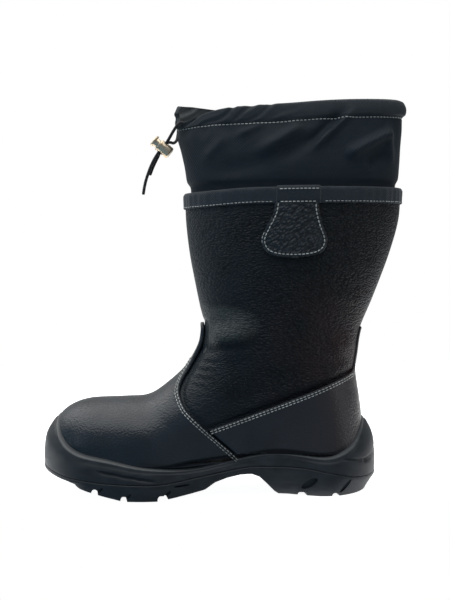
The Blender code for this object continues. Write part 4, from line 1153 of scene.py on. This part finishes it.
def cut_by(mesh, *groups):
    """A mesh less its cutters, which are taken away one group after the other."""
    scene = bpy.context.scene
    solid = bpy.data.objects.new("cut_solid", mesh)
    scene.collection.objects.link(solid)
    helpers = [solid]
    for cutters in groups:
        tools = bpy.data.collections.new("cutters")
        scene.collection.children.link(tools)
        for cutter in cutters:
            tool = bpy.data.objects.new("cutter", cutter)
            tools.objects.link(tool)
            helpers.append(tool)
        modifier = solid.modifiers.new("cut", "BOOLEAN")
        modifier.operation = "DIFFERENCE"
        modifier.operand_type = "COLLECTION"
        modifier.collection = tools
    graph = bpy.context.evaluated_depsgraph_get()
    made = bpy.data.meshes.new_from_object(solid.evaluated_get(graph))
    tools = [modifier.collection for modifier in solid.modifiers]
    for helper in helpers:
        bpy.data.objects.remove(helper)
    for group in tools:
        bpy.data.collections.remove(group)
    return made


class WORK_BOOT_OT_upper(bpy.types.Operator):
    """Make the leather shaft and its lining"""

    bl_idname = "work_boot.upper"
    bl_label = "Shaft leather"

    def execute(self, context):
        t, angle = np.meshgrid(np.linspace(0.6, COLLAR, 209), full_turn(320), indexing="ij")
        base = upper_surface(t, angle)
        base[..., 2] -= collar_dip(base[..., 0]) * smoothstep(*DIP_FADES, base[..., 2])
        normals = normals_of(base)
        x, z = base[..., 0], base[..., 2]
        lift = creased(x, z, SHAFT_CREASES) * sizes().crease_share
        (behind, depth, reach), (more_behind, more_depth, more_reach) = VAMP_TROUGH, VAMP_TROUGH_ROLLED
        heights = np.linspace(40.0, VAMP_TOP, 400)
        behind = behind + more_behind * smoothstep(*VAMP_ROLL_AT, heights)
        vamp_line = np.stack([vamp_station(heights) + behind, heights], axis=1)
        wide = smoothstep(*VAMP_ROLL_AT, z)
        vamp_trough = seam_trough(x, z, vamp_line, depth + more_depth * wide, reach + more_reach * wide)
        behind, depth, reach = COUNTER_TROUGH
        stations = np.linspace(COUNTER_SEAM[0, 0], COUNTER_SEAM[-1, 0], 400)
        counter_line = np.stack([stations, counter_height(stations) + behind], axis=1)
        lift -= np.maximum(vamp_trough, seam_trough(x, z, counter_line, depth, reach))
        outer = base + normals * lift[..., None]
        inner = (base - normals * sizes().leather_wall / MM)[::4]
        inner = np.concatenate([inner, inner[-1:]])
        inner[-1, :, 2] = outer[-1, :, 2]
        shaft, lining = tuple(colours().shaft), tuple(colours().lining)
        finishes = [finish_named("shaft_leather", pebbled_leather, "shaft_leather", shaft, **SHAFT_GRAIN),
                    finish_named("lining_felt", felt, "lining_felt", lining)]
        mesh = laid_grid("upper", shell(outer, inner), inner_from=len(outer) - 0.5)
        add_piece("upper_leather", mesh, finishes, ["upper"])
        return {"FINISHED"}


def nearest_border(points, border):
    """Distance from each point to the nearest of a border's points."""
    flat = points.reshape(-1, 3)
    gap = flat - border[nearest_index(flat, border)]
    return np.linalg.norm(gap, axis=1).reshape(points.shape[:2])


def rounded_rise(distance, edge):
    """Share of full height over a quarter-round edge."""
    return np.sqrt(np.maximum(1 - (1 - np.clip(distance / edge, 0.0, 1.0)) ** 2, 0.0))


def vamp_reach(t):
    """Angle at which each section meets the vamp's seam."""
    around = np.linspace(0.0, math.pi, 2400)
    reach = []
    for row in t:
        x, z = side_view(np.full_like(around, row), around)
        outside = x > vamp_station(z)
        reach.append(around[np.flatnonzero(outside)[-1]] if outside.any() else 0.0)
    return np.array(reach)


def counter_reach(t):
    """Angle at which each section leaves the counter: at the vamp's seam, the top seam or the tongue."""
    around = np.linspace(0.0, math.pi, 2400)
    reach = []
    for row in t:
        x, z = side_view(np.full_like(around, row), around)
        behind_vamp = x > vamp_station(z) + 0.3
        tongue = (x > column(TONGUE, TONGUE_COLUMNS, "station", z)) & (z < TONGUE[-1, 0])
        inside = behind_vamp & np.where(z < TONGUE[0, 0], z < counter_height(x), tongue)
        outside = np.flatnonzero(~inside)
        reach.append(around[outside[0]] if len(outside) else math.pi)
    return np.array(reach)


def painted_shade_line(angle, height):
    """Share of the painted shade line where the leather meets the sole, from the waist to the heel."""
    angle = np.mod(angle, 2 * math.pi)
    degrees = degrees_from_heel(angle)
    above = height - wall_column("rim_z", angle.ravel()).reshape(angle.shape)
    window = smoothstep(*PAINTED_SHADE_FROM, degrees) * (1 - smoothstep(*PAINTED_SHADE_TO, degrees))
    return window * (1 - smoothstep(*PAINTED_SHADE_FADES, above))


class WORK_BOOT_OT_panels(bpy.types.Operator):
    """Make the vamp and the heel counter over the upper"""

    bl_idname = "work_boot.panels"
    bl_label = "Vamp and heel counter"

    def execute(self, context):
        front_top = np.interp(VAMP_TOP - 0.5, SECTIONS[:, 1], np.arange(len(SECTIONS)))
        back_top = np.interp(TONGUE[-1, 0] - 0.2, SECTIONS[:, 3], np.arange(len(SECTIONS)))
        finish = finish_named("panel_leather", panel_leather)
        for name, top, edge, reach, middle, creases, roll in (
                ("vamp", front_top, 2.2, vamp_reach, math.pi, VAMP_CREASES, VAMP_ROLL),
                ("heel_counter", back_top, 1.6, counter_reach, 0.0, (), 0.0)):
            last_rows = top - np.array((0.08, 0.05, 0.03, 0.01, 0.0))
            t = np.concatenate([np.linspace(0.8, top - 0.12, 120), last_rows])
            angle = reach(t)
            half = (math.pi - angle if middle else angle)[:, None] * np.linspace(-1.0, 1.0, 181)
            base = upper_surface(t[:, None], middle + half)
            normals = normals_of(base, wraps=False)
            border = np.concatenate([base[:, 0], base[:, -1], base[-1]])
            inset = nearest_border(base, border)
            rise = rounded_rise(inset, edge)
            rolled = roll * smoothstep(*VAMP_ROLL_AT, base[..., 2]) * bell(inset, 0.0, VAMP_ROLL_REACH)
            lift = PANEL_GAP + (sizes().panel_proud / MM - PANEL_GAP + rolled) * rise
            lift += creased(base[..., 0], base[..., 2], creases) * sizes().crease_share * rise
            outer = base + normals * lift[..., None]
            under = base + normals * PANEL_GAP
            points = shell(outer, under)
            # Painted shade along the foot of the panels, just over the sole's rim
            painted_shading = np.zeros(points.shape[:2])
            painted_shading[:len(t)] = painted_shade_line(middle + half, base[..., 2])
            add_piece(f"{name}_leather", laid_grid(name, points, painted_shading=painted_shading), [finish], [name])
        return {"FINISHED"}


def sole_ring(outline, out, height):
    """A ring of the sole's wall, out from the upper's widest ring, at the given heights."""
    points, outwards = outline
    ring = points + outwards * np.broadcast_to(out, len(points))[:, None]
    ring[:, 2] = height
    return ring


class WORK_BOOT_OT_midsole(bpy.types.Operator):
    """Mould the cup round the foot with its beaded rim, toe bumper and heel guard"""

    bl_idname = "work_boot.midsole"
    bl_label = "Midsole"

    def execute(self, context):
        around = full_turn(360)
        outline = sole_outline(around)
        rim_z, belly_z = wall_column("rim_z", around), wall_column("belly_z", around)
        ledge = wall_column("rim_proud", around)
        rim_out = self.hugging(around, outline, rim_z) + ledge
        belly_out, line_out = wall_column("belly_out", around), wall_column("line_out", around)
        line_z = parting_height(outline[0][:, 0])
        bead = wall_column("bead", around)
        neck_out = rim_out + 0.25 * bead + 0.25 * (belly_out - rim_out)
        neck_z = rim_z - 2.5 * bead
        # Up the wall from the parting line to the rim: how far out, height
        rows = [
            (line_out - 0.9, line_z + 0.3),
            (line_out - 0.4, line_z + 0.5),
            (line_out - 0.1, line_z + 1.3),
            (belly_out, belly_z),
            (belly_out + (neck_out - belly_out) * 0.27, belly_z + (neck_z - belly_z) * 0.55),
            (neck_out, neck_z),
            (rim_out + 0.35 * bead, rim_z - 1.8 * bead),
            (rim_out + 0.15 * bead, rim_z - 1.2 * bead),
            (rim_out - 0.35 * ledge, rim_z - 0.5 * bead),
            (rim_out - 0.75 * ledge, rim_z),
            (rim_out - 1.15 * ledge - 0.4, rim_z + 0.1),
        ]
        knots = np.arange(len(rows))
        fine = np.linspace(0.0, len(rows) - 1.0, 64)
        outs, heights = (np.stack([spline(knots, line, fine) for line in np.stack(lines, axis=1)], axis=1)
                         for lines in zip(*rows))
        outs -= self.ribs(around, heights)
        wall = np.stack([sole_ring(outline, out, height) for out, height in zip(outs, heights)])
        lip = self.on_foot(around, rim_z - 2.0)
        seat = self.on_foot(around, np.maximum(line_z + 4.0, SEAT_HEIGHT))
        under = sole_ring(outline, -SEAT_INSET, line_z + 0.3)
        points = np.concatenate([wall, lip[None], seat[None], under[None], wall[:1]])
        # Painted highlight along the rim's bead, on the wall's rows only
        painted_shading = np.zeros(points.shape[:2])
        painted_shading[:len(fine)] = self.painted_shading_share(around, fine)
        finish = finish_named("sole_rubber", sole_rubber)
        add_piece("midsole_cup", laid_grid("midsole", points, painted_shading=painted_shading), [finish], ["midsole"])
        return {"FINISHED"}

    def painted_shading_share(self, around, row):
        """Share of the painted highlight along the rim's edge, least at the waist."""
        waist = 1 - WAIST_HIGHLIGHT_CUT * bell(degrees_from_heel(around), WAIST_ANGLE, WAIST_REACH)
        return bell(row[:, None], RIM_HIGHLIGHT_ROW, RIM_HIGHLIGHT_REACH) * waist

    def hugging(self, around, outline, height):
        """How far out from the widest ring the leather stands at a height."""
        gap = self.on_foot(around, height) - outline[0]
        return (gap * outline[1]).sum(axis=1)

    def ribs(self, around, heights):
        """Depth of the grooves along the side wall."""
        degrees = degrees_from_heel(around)
        depth = np.zeros_like(heights)
        for row in RIBS:
            rib = dict(zip(RIB_COLUMNS, row))
            share = (degrees - rib["from_angle"]) / (rib["to_angle"] - rib["from_angle"])
            line = rib["from_z"] + (rib["to_z"] - rib["from_z"]) * share
            ends = smoothstep(-0.08, 0.06, share) * (1 - smoothstep(0.94, 1.08, share))
            depth += rib["depth"] * np.exp(-(((heights - line) / rib["width"]) ** 4)) * ends
        return depth

    def on_foot(self, around, height):
        """Points just inside the panels' outer face at a height round the foot."""
        t = np.linspace(0.0, 6.0, 60)
        grid = upper_surface(t[:, None], around[None, :])
        points = []
        for i, z in enumerate(np.broadcast_to(height, len(around))):
            points.append([np.interp(z, grid[:, i, 2], grid[:, i, axis]) for axis in range(3)])
        return np.array(points)


class WORK_BOOT_OT_outsole(bpy.types.Operator):
    """Cut the tread with its lugs, grooves and notches"""

    bl_idname = "work_boot.outsole"
    bl_label = "Outsole"

    def execute(self, context):
        around = self.columns()
        outline = sole_outline(around)
        edge_out, line_out = wall_column("edge_out", around), wall_column("line_out", around)
        line_z = parting_height(outline[0][:, 0])
        ground = ground_height(sole_ring(outline, edge_out, 0.0)[:, 0])
        # Up the wall from the ground to the parting line: how far out, height
        rows = (
            (edge_out - 0.9, ground),
            (edge_out - 0.2, ground + 0.3),
            (edge_out, ground + 1.0),
            (line_out - 0.2, line_z - 3.2),
            (line_out, line_z - 2.4),
            (line_out, line_z - 0.8),
            (line_out - 0.5, line_z - 0.1),
            (line_out - 1.6, line_z + 0.1),
        )
        heights = np.stack([height for _, height in rows])
        for low, high in zip(heights[:-1], heights[1:]):
            np.maximum(high, low + 0.05, out=high)
        rings = [sole_ring(outline, out, height) for (out, _), height in zip(rows, heights)]
        tread = [self.towards_middle(rings[0], share, ground_height) for share in (0.0, 0.3, 0.6, 0.9)]
        roof = [self.towards_middle(rings[-1], share, parting_height) for share in (0.6, 0.0)]
        solid = laid_grid("outsole", np.stack([*tread, *rings, *roof]))
        grooves = [self.groove(dict(zip(GROOVE_COLUMNS, row)), side) for row in GROOVES for side in (-1, 1)]
        notches = [self.notch(dict(zip(NOTCH_COLUMNS, row)), side, outline, line_out)
                   for row in NOTCHES for side in (-1, 1)]
        for y in CHANNELS_Y:
            for first, last in CHANNEL_RUNS:
                floor = GROUND[(GROUND[:, 0] > first) & (GROUND[:, 0] < last)]
                points = [*(floor + (0.0, CHANNEL_DEPTH)), *(floor - (0.0, CHANNEL_BELOW))[::-1]]
                notches.append(self.across_prism(points, y - CHANNEL_WIDTH / 2, y + CHANNEL_WIDTH / 2))
        mesh = cut_by(solid, grooves, notches)
        mesh.shade_smooth()
        mesh.set_sharp_from_angle(angle=math.radians(32))
        finish = finish_named("sole_rubber", sole_rubber)
        add_piece("outsole_tread", mesh, [finish], ["outsole"])
        return {"FINISHED"}

    def columns(self):
        """Angles round the sole that hold the corners of the ground line."""
        front, back = SECTIONS[1, 0], SECTIONS[1, 2]
        knots = GROUND[(GROUND[:, 0] > front) & (GROUND[:, 0] < back), 0]
        corners = np.arccos(1 - 2 * (back - knots) / (back - front))
        half = np.sort(np.concatenate([np.linspace(0.0, math.pi, 101), corners]))
        half = half[np.concatenate([[True], np.diff(half) > 0.004])]
        half[-1] = math.pi
        return np.concatenate([half, 2 * math.pi - half[-2::-1]])

    def towards_middle(self, ring, share, height):
        """A ring drawn in to the middle of the sole, at the height that goes with its stations."""
        middle = (ring + ring[::-1]) / 2
        row = middle + (ring - middle) * share
        row[:, 2] = height(row[:, 0])
        return row

    def across_prism(self, outline, low_y, high_y):
        """An outline of (station, height) points, extruded across the boot."""
        bm = bmesh.new()
        face = bm.faces.new([bm.verts.new(to_world((x, low_y, z))) for x, z in outline])
        made = bmesh.ops.extrude_face_region(bm, geom=[face])["geom"]
        moved = [v for v in made if isinstance(v, bmesh.types.BMVert)]
        bmesh.ops.translate(bm, verts=moved, vec=(0.0, (high_y - low_y) * MM, 0.0))
        return mesh_from(bm)

    def groove(self, size, side):
        """One side's half of a cross groove, swept back from the middle of the tread."""
        bm = bmesh.new()
        half = size["width"] / 2
        ends = []
        for reach in (0.02, size["reach"]):
            x = size["station"] + reach * math.tan(GROOVE_SWEEP)
            top = float(ground_height(x)) + size["depth"]
            profile = ((0.8, GROOVE_BOTTOM), (-0.2, top - 2.4), (-1.0, top - 0.7), (-2.2, top))
            left, right = ([(x + way * (half + out), z) for out, z in profile] for way in (-1, 1))
            corners = [left[0], *right, *left[:0:-1]]
            ends.append([bm.verts.new(to_world((cx, side * reach, cz))) for cx, cz in corners])
        bm.faces.new(ends[0])
        edges = [bm.edges.new(pair) for pair in zip(ends[1], ends[1][1:] + ends[1][:1])]
        bm.faces.new(ends[1])
        bmesh.ops.bridge_loops(bm, edges=[e for e in bm.edges if e not in edges] + edges)
        return mesh_from(bm)

    def notch(self, size, side, outline, line_out):
        """A slanting slot in the tread's side wall."""
        edge = sole_ring(outline, line_out, 0.0)
        edge = edge[np.sign(edge[:, 1]) == side]
        y_edge = edge[np.abs(edge[:, 0] - size["station"]).argmin(), 1]
        centre = to_world((size["station"], y_edge + side * 1.5, size["height"]))
        turn = Matrix.Rotation(math.radians(size["lean"]), 4, "Y")
        stretch = Matrix.Diagonal((size["width"] * MM, NOTCH_REACH * MM, size["length"] * MM, 1.0))
        bm = bmesh.new()
        bmesh.ops.create_cone(bm, cap_ends=True, segments=20, radius1=0.5, radius2=0.5, depth=1.0,
                              matrix=Matrix.Rotation(math.radians(90), 4, "X"))
        bmesh.ops.transform(bm, matrix=Matrix.Translation(Vector(centre)) @ turn @ stretch, verts=bm.verts[:])
        return mesh_from(bm)


class WORK_BOOT_OT_insole(bpy.types.Operator):
    """Make the felt footbed"""

    bl_idname = "work_boot.insole"
    bl_label = "Footbed"

    def execute(self, context):
        around = full_turn(160)
        ring = upper_surface(np.full_like(around, 0.0), around)
        middle = centre_line(ring[:, 0], ring[:, 2])
        width = ring[:, 1] - middle
        front_x, front_z, back_x, _, dip = SECTIONS[0]
        rows = []
        for share, rise in FOOTBED:
            row = ring.copy()
            length = 1 - FOOTBED_SHORTER - FOOTBED_DRAWN_IN * (1 - share)
            row[:, 0] = SOLE_MIDDLE + (ring[:, 0] - SOLE_MIDDLE) * length
            row[:, 1] = middle + width * FOOTBED_WIDTH * share
            forwards = np.clip((back_x - row[:, 0]) / (back_x - front_x), 0.0, 1.0)
            row[:, 2] = front_z - dip * spline(DIP_AT, DIP_SHARE, forwards) + FOOTBED_OVER + rise
            rows.append(row)
        finish = finish_named("insole_felt", felt, "insole_felt", tuple(colours().lining))
        mesh = laid_grid("insole", np.stack(rows))
        add_piece("insole_footbed", mesh, [finish], ["insole"])
        return {"FINISHED"}


def collar_dip(x):
    """How far the collar drops towards the front."""
    return COLLAR_DIP * (1 - smoothstep(DIP_TO, DIP_FROM, x))


def binding_pucker(angle):
    """How far the binding tape swells and sinks round the collar."""
    return waves(angle, BINDING_PUCKERS)


def over_collar(angle, offset, height):
    """Points at a distance outside the upper and a height near its top edge."""
    low, high = SECTIONS[-2:, [1, 3]].mean(axis=1)
    level = np.full_like(angle, COLLAR - 1 + (np.minimum(height, high) - low) / (high - low))
    base, outwards = ring_outwards(level, angle, COLLAR_MIDDLE)
    points = base + outwards * offset
    points[:, 2] = height - collar_dip(points[:, 0])
    return points


def tab_sides(heights):
    """Stations of the tab's two side edges at its heights, rounded at its foot."""
    knots = np.sqrt(TAB[:, 0] - TAB[0, 0])
    at = np.sqrt(heights - TAB[0, 0])
    return [spline(knots, TAB[:, TAB_COLUMNS.index(name)], at) for name in ("from_x", "to_x")]


class WORK_BOOT_OT_collar(bpy.types.Operator):
    """Make the collar binding, the pull strap and the pull tab"""

    bl_idname = "work_boot.collar"
    bl_label = "Collar"

    def execute(self, context):
        self.bind()
        self.strap()
        self.tab()
        return {"FINISHED"}

    def bind(self):
        around = full_turn(360)
        pucker = binding_pucker(around)
        rows = []
        for offset, height in BINDING:
            rows.append(over_collar(around, (offset + pucker * (offset > PUCKER_BEYOND))[:, None], height))
        rows.append(rows[0])
        finish = finish_named("binding_twill", binding_twill)
        mesh = laid_grid("collar_binding", np.stack(rows))
        add_piece("collar_binding_tape", mesh, [finish], ["collar_binding"])

    def strap(self):
        """A strap of tape from the binding's lower edge over the top to the inner face."""
        angle = np.linspace(0.0, math.pi, 800)
        x = upper_surface(np.full_like(angle, COLLAR), angle)[:, 0]
        edges = [np.interp(-station, -x, angle) for station in (STRAP_TO, STRAP_FROM)]
        around = np.linspace(*edges, 41)
        width = STRAP_TO - STRAP_FROM
        inset = np.minimum(np.linspace(0.0, width, 41), np.linspace(width, 0.0, 41))
        thick = STRAP_WALL * rounded_rise(inset, STRAP_EDGE)[:, None]
        near, far = [], []
        for offset, height, outwards, upwards in STRAP:
            row = over_collar(around, offset, height)
            ahead = over_collar(around, offset + 1.0, height) - row
            near.append(row)
            far.append(row + thick * (ahead * outwards + (0.0, 0.0, upwards)))
        finish = finish_named("binding_twill", binding_twill)
        mesh = laid_grid("pull_strap", shell(np.stack(far), np.stack(near)))
        add_piece("pull_strap_tape", mesh, [finish], ["pull_strap"])

    def tab(self):
        """The leather tab under the strap, with a thick rounded edge."""
        share = np.linspace(0.0, 1.0, 70)
        heights = TAB[0, 0] + (TAB[-1, 0] - TAB[0, 0]) * share ** 1.6
        from_x, to_x = tab_sides(heights)
        across = (1 - np.cos(np.linspace(0.0, math.pi, 81))) / 2
        x = from_x[:, None] + (to_x - from_x)[:, None] * across
        z = np.broadcast_to(heights[:, None], x.shape)
        base, normals = on_side(x, z)
        border = np.concatenate([base[:, 0], base[:, -1], base[0]])
        rise = rounded_rise(nearest_border(base, border), TAB_EDGE)
        outer = base + normals * (TAB_GAP + TAB_WALL * rise)[..., None]
        under = base + normals * TAB_GAP
        pale = tint(colours().shaft, 2.6)
        finish = finish_named("tab_leather", pebbled_leather, "tab_leather", pale, **TAB_GRAIN)
        add_piece("pull_tab_leather", laid_grid("pull_tab", shell(outer, under)), [finish], ["pull_tab"])


def cuff_face(level, angle, inwards=0.0):
    """Points of the cuff at levels of its table. The lateral hem sags at its mouth in front."""
    level, angle = np.broadcast_arrays(np.asarray(level, float), np.asarray(angle, float))
    knots = np.arange(len(CUFF))
    columns = (spline(knots, CUFF[:, i], level) for i in range(len(CUFF_COLUMNS)))
    front_x, back_x, front_z, back_z, half, point = columns
    share = (1 - np.cos(angle)) / 2
    lean = np.abs(np.sin(angle)) ** (1 + point * share)
    middle, reach = (front_x + back_x) / 2, (back_x - front_x) / 2 - inwards
    x = middle + reach * np.cos(angle)
    y = -side_of(angle) * (half - inwards) * lean
    hem = np.clip((level - CUFF_STITCH) / (len(CUFF) - 1 - CUFF_STITCH), 0.0, 1.0)
    slack = smoothstep(*MOUTH_LEVELS, level)
    mouth = slack * bell(angle, MOUTH_AT, np.where(angle < MOUTH_AT, MOUTH_BACK, MOUTH_FRONT))
    sag = slack * bell(angle, HEM_SAG_AT, HEM_SAG_REACH) * HEM_SAG
    medial = smoothstep(*MEDIAL_STARTS, angle) * (1 - smoothstep(*MEDIAL_ENDS, angle))
    medial = medial * (1 - MEDIAL_EASE * smoothstep(*MEDIAL_EASES, angle))
    lift = MEDIAL_LIFT * medial * hem - mouth * (MOUTH_DROP + MOUTH_SAG * hem) - sag
    z = back_z + (front_z - back_z) * share + lift
    return np.stack([x, y, z], axis=-1)


def cuff_wrinkles(base, level, angle):
    """Slanting folds under the hem and gathers along it, on both sides of the boot."""
    x, z = base[..., 0], base[..., 2]
    lateral = np.broadcast_to(angle < math.pi, x.shape)
    mirrored = creased(RIDGES_MIRROR - x, z, CUFF_RIDGES) * MIRROR_SHARE
    folds = np.where(lateral, creased(x, z, CUFF_RIDGES), mirrored)
    fade = smoothstep(*FOLD_FADES_Y, np.abs(base[..., 1])) * smoothstep(*FOLD_LEVELS, level)
    slant = x * GATHER_WAY[0] + z * GATHER_WAY[1] + waves(x, GATHER_WANDER)
    hem = smoothstep(*GATHER_LEVELS, level - CUFF_STITCH) * (1 - smoothstep(*GATHER_FADES, x))
    gathers = GATHER_SHARE * hem * waves(slant, GATHERS)
    ripples = UNDER_SHARE * np.sin(x * UNDER_RATE + waves(x, UNDER_WANDER))
    folds = folds + ripples * bell(level, CUFF_STITCH - UNDER_BELOW, UNDER_REACH)
    groove = HEM_GROOVE * bell(level, CUFF_STITCH, HEM_GROOVE_REACH)
    return (folds * fade + gathers) * sizes().wrinkle_share - groove


def cuff_cloth(level, angle):
    """Points of the wrinkled cloth, its normals and how far the wrinkles lift it."""
    base = cuff_face(level[:, None], angle)
    normals = normals_of(base)
    lift = cuff_wrinkles(base, level[:, None], angle)[..., None]
    return base + normals * lift, normals, lift


class WORK_BOOT_OT_cuff(bpy.types.Operator):
    """Hang the cloth snow cuff with its gathered hem"""

    bl_idname = "work_boot.cuff"
    bl_label = "Snow cuff"

    def execute(self, context):
        top = len(CUFF) - 1
        angle = full_turn(320)
        level = np.concatenate([np.linspace(0.0, CUFF_STITCH, 84), np.linspace(CUFF_STITCH, top, 36)[1:]])
        outer, normals, lift = cuff_cloth(level, angle)
        wall = np.where(level < CUFF_STITCH + 0.4, CUFF_WALL, HEM_WALL)
        inner = cuff_face(level[:, None], angle, wall[:, None]) + normals * lift * 0.8
        inner = inner[:-2]
        points = shell(outer, inner)
        # Painted light on the doubled hem: a little on its outer face and full on its inner face, which lies
        # in shade
        painted_shading = np.zeros(points.shape[:2])
        doubled = smoothstep(CUFF_STITCH, CUFF_STITCH + 0.5, level)[:, None]
        painted_shading[:len(level)] = HEM_PAINTED_LIGHT_OUTSIDE * doubled
        painted_shading[len(level):-1] = doubled[len(inner) - 1::-1]
        mesh = laid_grid("snow_cuff", points, painted_shading=painted_shading)
        finish = finish_named("cuff_nylon", cuff_nylon)
        cuff = add_piece("snow_cuff_nylon", mesh, [finish], ["snow_cuff"])
        return {"FINISHED"}


class WORK_BOOT_OT_stitching(bpy.types.Operator):
    """Sew the seams"""

    bl_idname = "work_boot.stitching"
    bl_label = "Stitching"

    def execute(self, context):
        self.places = []
        for side in (-1, 1):
            for inset in SEAM_INSETS:
                self.sew_vamp(inset + VAMP_INSET_MORE, side)
                self.sew(self.counter_row(inset), side, STITCH_OVER)
        self.sew_binding()
        inset, over = TAB_ROW
        self.sew(self.tab_row(inset), -1, over)
        inset, over = TAB_SHORT_ROW
        self.sew(self.tab_row(inset)[TAB_SHORT_PART], -1, over)
        self.sew_strap()
        self.sew_hem()
        add_piece("seam_stitches", self.joined(), [finish_named("thread", thread)], [])
        return {"FINISHED"}

    def joined(self):
        """All stitches in one mesh, as copies of one short thread with round ends."""
        bm = bmesh.new()
        bmesh.ops.create_uvsphere(bm, u_segments=6, v_segments=5, radius=1.0)
        bmesh.ops.rotate(bm, verts=bm.verts[:], matrix=Matrix.Rotation(math.radians(90), 3, "Y"))
        radius = sizes().thread_radius
        bmesh.ops.scale(bm, verts=bm.verts[:], vec=(sizes().stitch_pitch * STITCH_HALF, radius, radius))
        bm.verts.index_update()
        corners = np.array([v.co for v in bm.verts])
        faces = [[v.index for v in f.verts] for f in bm.faces]
        bm.free()
        points, joined = [], []
        for i, (place, frame_axes) in enumerate(self.places):
            points.append(corners @ frame_axes + to_world(place))
            joined += [[k + i * len(corners) for k in face] for face in faces]
        mesh = bpy.data.meshes.new("stitches")
        mesh.from_pydata(np.concatenate(points).tolist(), [], joined)
        mesh.shade_smooth()
        return mesh

    def run(self, points, normals, girth=1.0):
        """Stitches at an even pitch along a line of points."""
        along = lengths_along(points)
        pitch = sizes().stitch_pitch / MM

        def sample(values, at):
            return np.array([np.interp(at, along, values[:, i]) for i in range(3)])

        for at in np.arange(pitch / 2, along[-1], pitch):
            normal = unit(sample(normals, at))
            heading = sample(points, at + STITCH_LOOK) - sample(points, at - STITCH_LOOK)
            heading = unit(heading - normal * heading.dot(normal))
            axes = np.stack([heading, np.cross(normal, heading) * girth, normal * girth])
            self.places.append((sample(points, at), axes))

    def sew(self, row, side, offset):
        """A row of stitches from stations and heights on one side of the upper."""
        points, normals = on_side(row[:, 0], row[:, 1], np.broadcast_to(offset, len(row)), side)
        self.run(points, normals)

    def beside(self, line, inset):
        """A line moved sideways in side view, to the left of its own direction."""
        heading = unit(np.gradient(line, axis=0))
        return line + np.stack([-heading[:, 1], heading[:, 0]], axis=1) * inset

    def sew_vamp(self, inset, side):
        """A row at an even distance in front of the vamp's seam, over the leather."""
        heights = np.linspace(34.0, 116.0, 140)
        seam, normals = on_side(vamp_station(heights), heights, np.zeros(len(heights)), side)
        ahead = -side * np.cross(normals, unit(np.gradient(seam, axis=0)))
        offset = STITCH_OVER + VAMP_ROLL * 0.9 * smoothstep(*VAMP_ROLL_AT, heights)
        self.run(seam + ahead * inset + normals * offset[:, None], normals)

    def counter_row(self, inset):
        stations = np.linspace(153.0, 283.0, 90)
        return self.beside(np.stack([stations, counter_height(stations)], axis=1), -inset)

    def tab_row(self, inset):
        """The outline of the tab, from the strap's edge down round its foot and up again."""
        heights = TAB[0, 0] + (TAB[-1, 0] - TAB[0, 0]) * np.linspace(0.0, 1.0, 60) ** 2
        left, right = (np.stack([stations, heights], axis=1) for stations in tab_sides(heights))
        return self.beside(np.concatenate([left[::-1], right[1:]]), inset)

    def sew_binding(self):
        """The row along the binding's lower edge, open where the strap and the tab are."""
        around = np.linspace(0.0, 2 * math.pi, 600, endpoint=False)
        offset = (1.5 + binding_pucker(around))[:, None]
        points = over_collar(around, offset, BINDING_SEAM)
        normals = over_collar(around, offset + 1.0, BINDING_SEAM) - points
        open_from, open_to = BINDING_OPEN
        hidden = (points[:, 1] < 0) & (points[:, 0] > open_from) & (points[:, 0] < open_to)
        first = np.flatnonzero(hidden)[-1] + 1
        seen = len(around) - hidden.sum()
        points, normals = (np.roll(rows, -first, axis=0)[:seen] for rows in (points, normals))
        self.run(points, normals, BINDING_GIRTH)

    def sew_strap(self):
        """The row along the strap's lower edge and a closer one along its fold."""
        for height, offset, first, last in STRAP_ROWS:
            stations = np.linspace(first, last, 40)
            points, normals = on_side(stations, np.full(40, height), np.full(40, offset), -1)
            self.run(points, normals)

    def sew_hem(self):
        """The row under the cuff's hem."""
        cloth, normals, _ = cuff_cloth(CUFF_STITCH + np.array((-0.1, 0.0, 0.1)), full_turn(400))
        seen = slice(6, -6)
        self.run(cloth[1, seen] + normals[1, seen] * HEM_ROW_OVER, normals[1, seen])


class WORK_BOOT_PT_pieces(bpy.types.Panel):
    """Sizes, colours and pieces of the boot"""

    bl_idname = "WORK_BOOT_PT_pieces"
    bl_label = "Work boot"
    bl_space_type = "VIEW_3D"
    bl_region_type = "UI"
    bl_category = "Work boot"

    def draw(self, context):
        for group in (context.scene.work_boot_sizes, context.scene.work_boot_colours):
            for name in group.__annotations__:
                self.layout.prop(group, name)
        for operator in OPERATORS:
            self.layout.operator(operator.bl_idname)


OPERATORS = (
    WORK_BOOT_OT_stage,
    WORK_BOOT_OT_drawcords,
    WORK_BOOT_OT_cord_lock,
    WORK_BOOT_OT_upper,
    WORK_BOOT_OT_panels,
    WORK_BOOT_OT_midsole,
    WORK_BOOT_OT_outsole,
    WORK_BOOT_OT_insole,
    WORK_BOOT_OT_collar,
    WORK_BOOT_OT_cuff,
    WORK_BOOT_OT_stitching,
)
CLASSES = (BootSizes, BootColours, *OPERATORS, WORK_BOOT_PT_pieces)


def register():
    for cls in CLASSES:
        bpy.utils.register_class(cls)
    bpy.types.Scene.work_boot_sizes = bpy.props.PointerProperty(type=BootSizes)
    bpy.types.Scene.work_boot_colours = bpy.props.PointerProperty(type=BootColours)


def unregister():
    del bpy.types.Scene.work_boot_sizes
    del bpy.types.Scene.work_boot_colours
    for cls in reversed(CLASSES):
        bpy.utils.unregister_class(cls)


def main():
    """Make every piece in order."""
    register()
    bpy.ops.work_boot.stage()
    bpy.ops.work_boot.drawcords()
    bpy.ops.work_boot.cord_lock()
    bpy.ops.work_boot.upper()
    bpy.ops.work_boot.panels()
    bpy.ops.work_boot.midsole()
    bpy.ops.work_boot.outsole()
    bpy.ops.work_boot.insole()
    bpy.ops.work_boot.collar()
    bpy.ops.work_boot.cuff()
    bpy.ops.work_boot.stitching()


if __name__ == "__main__":
    main()
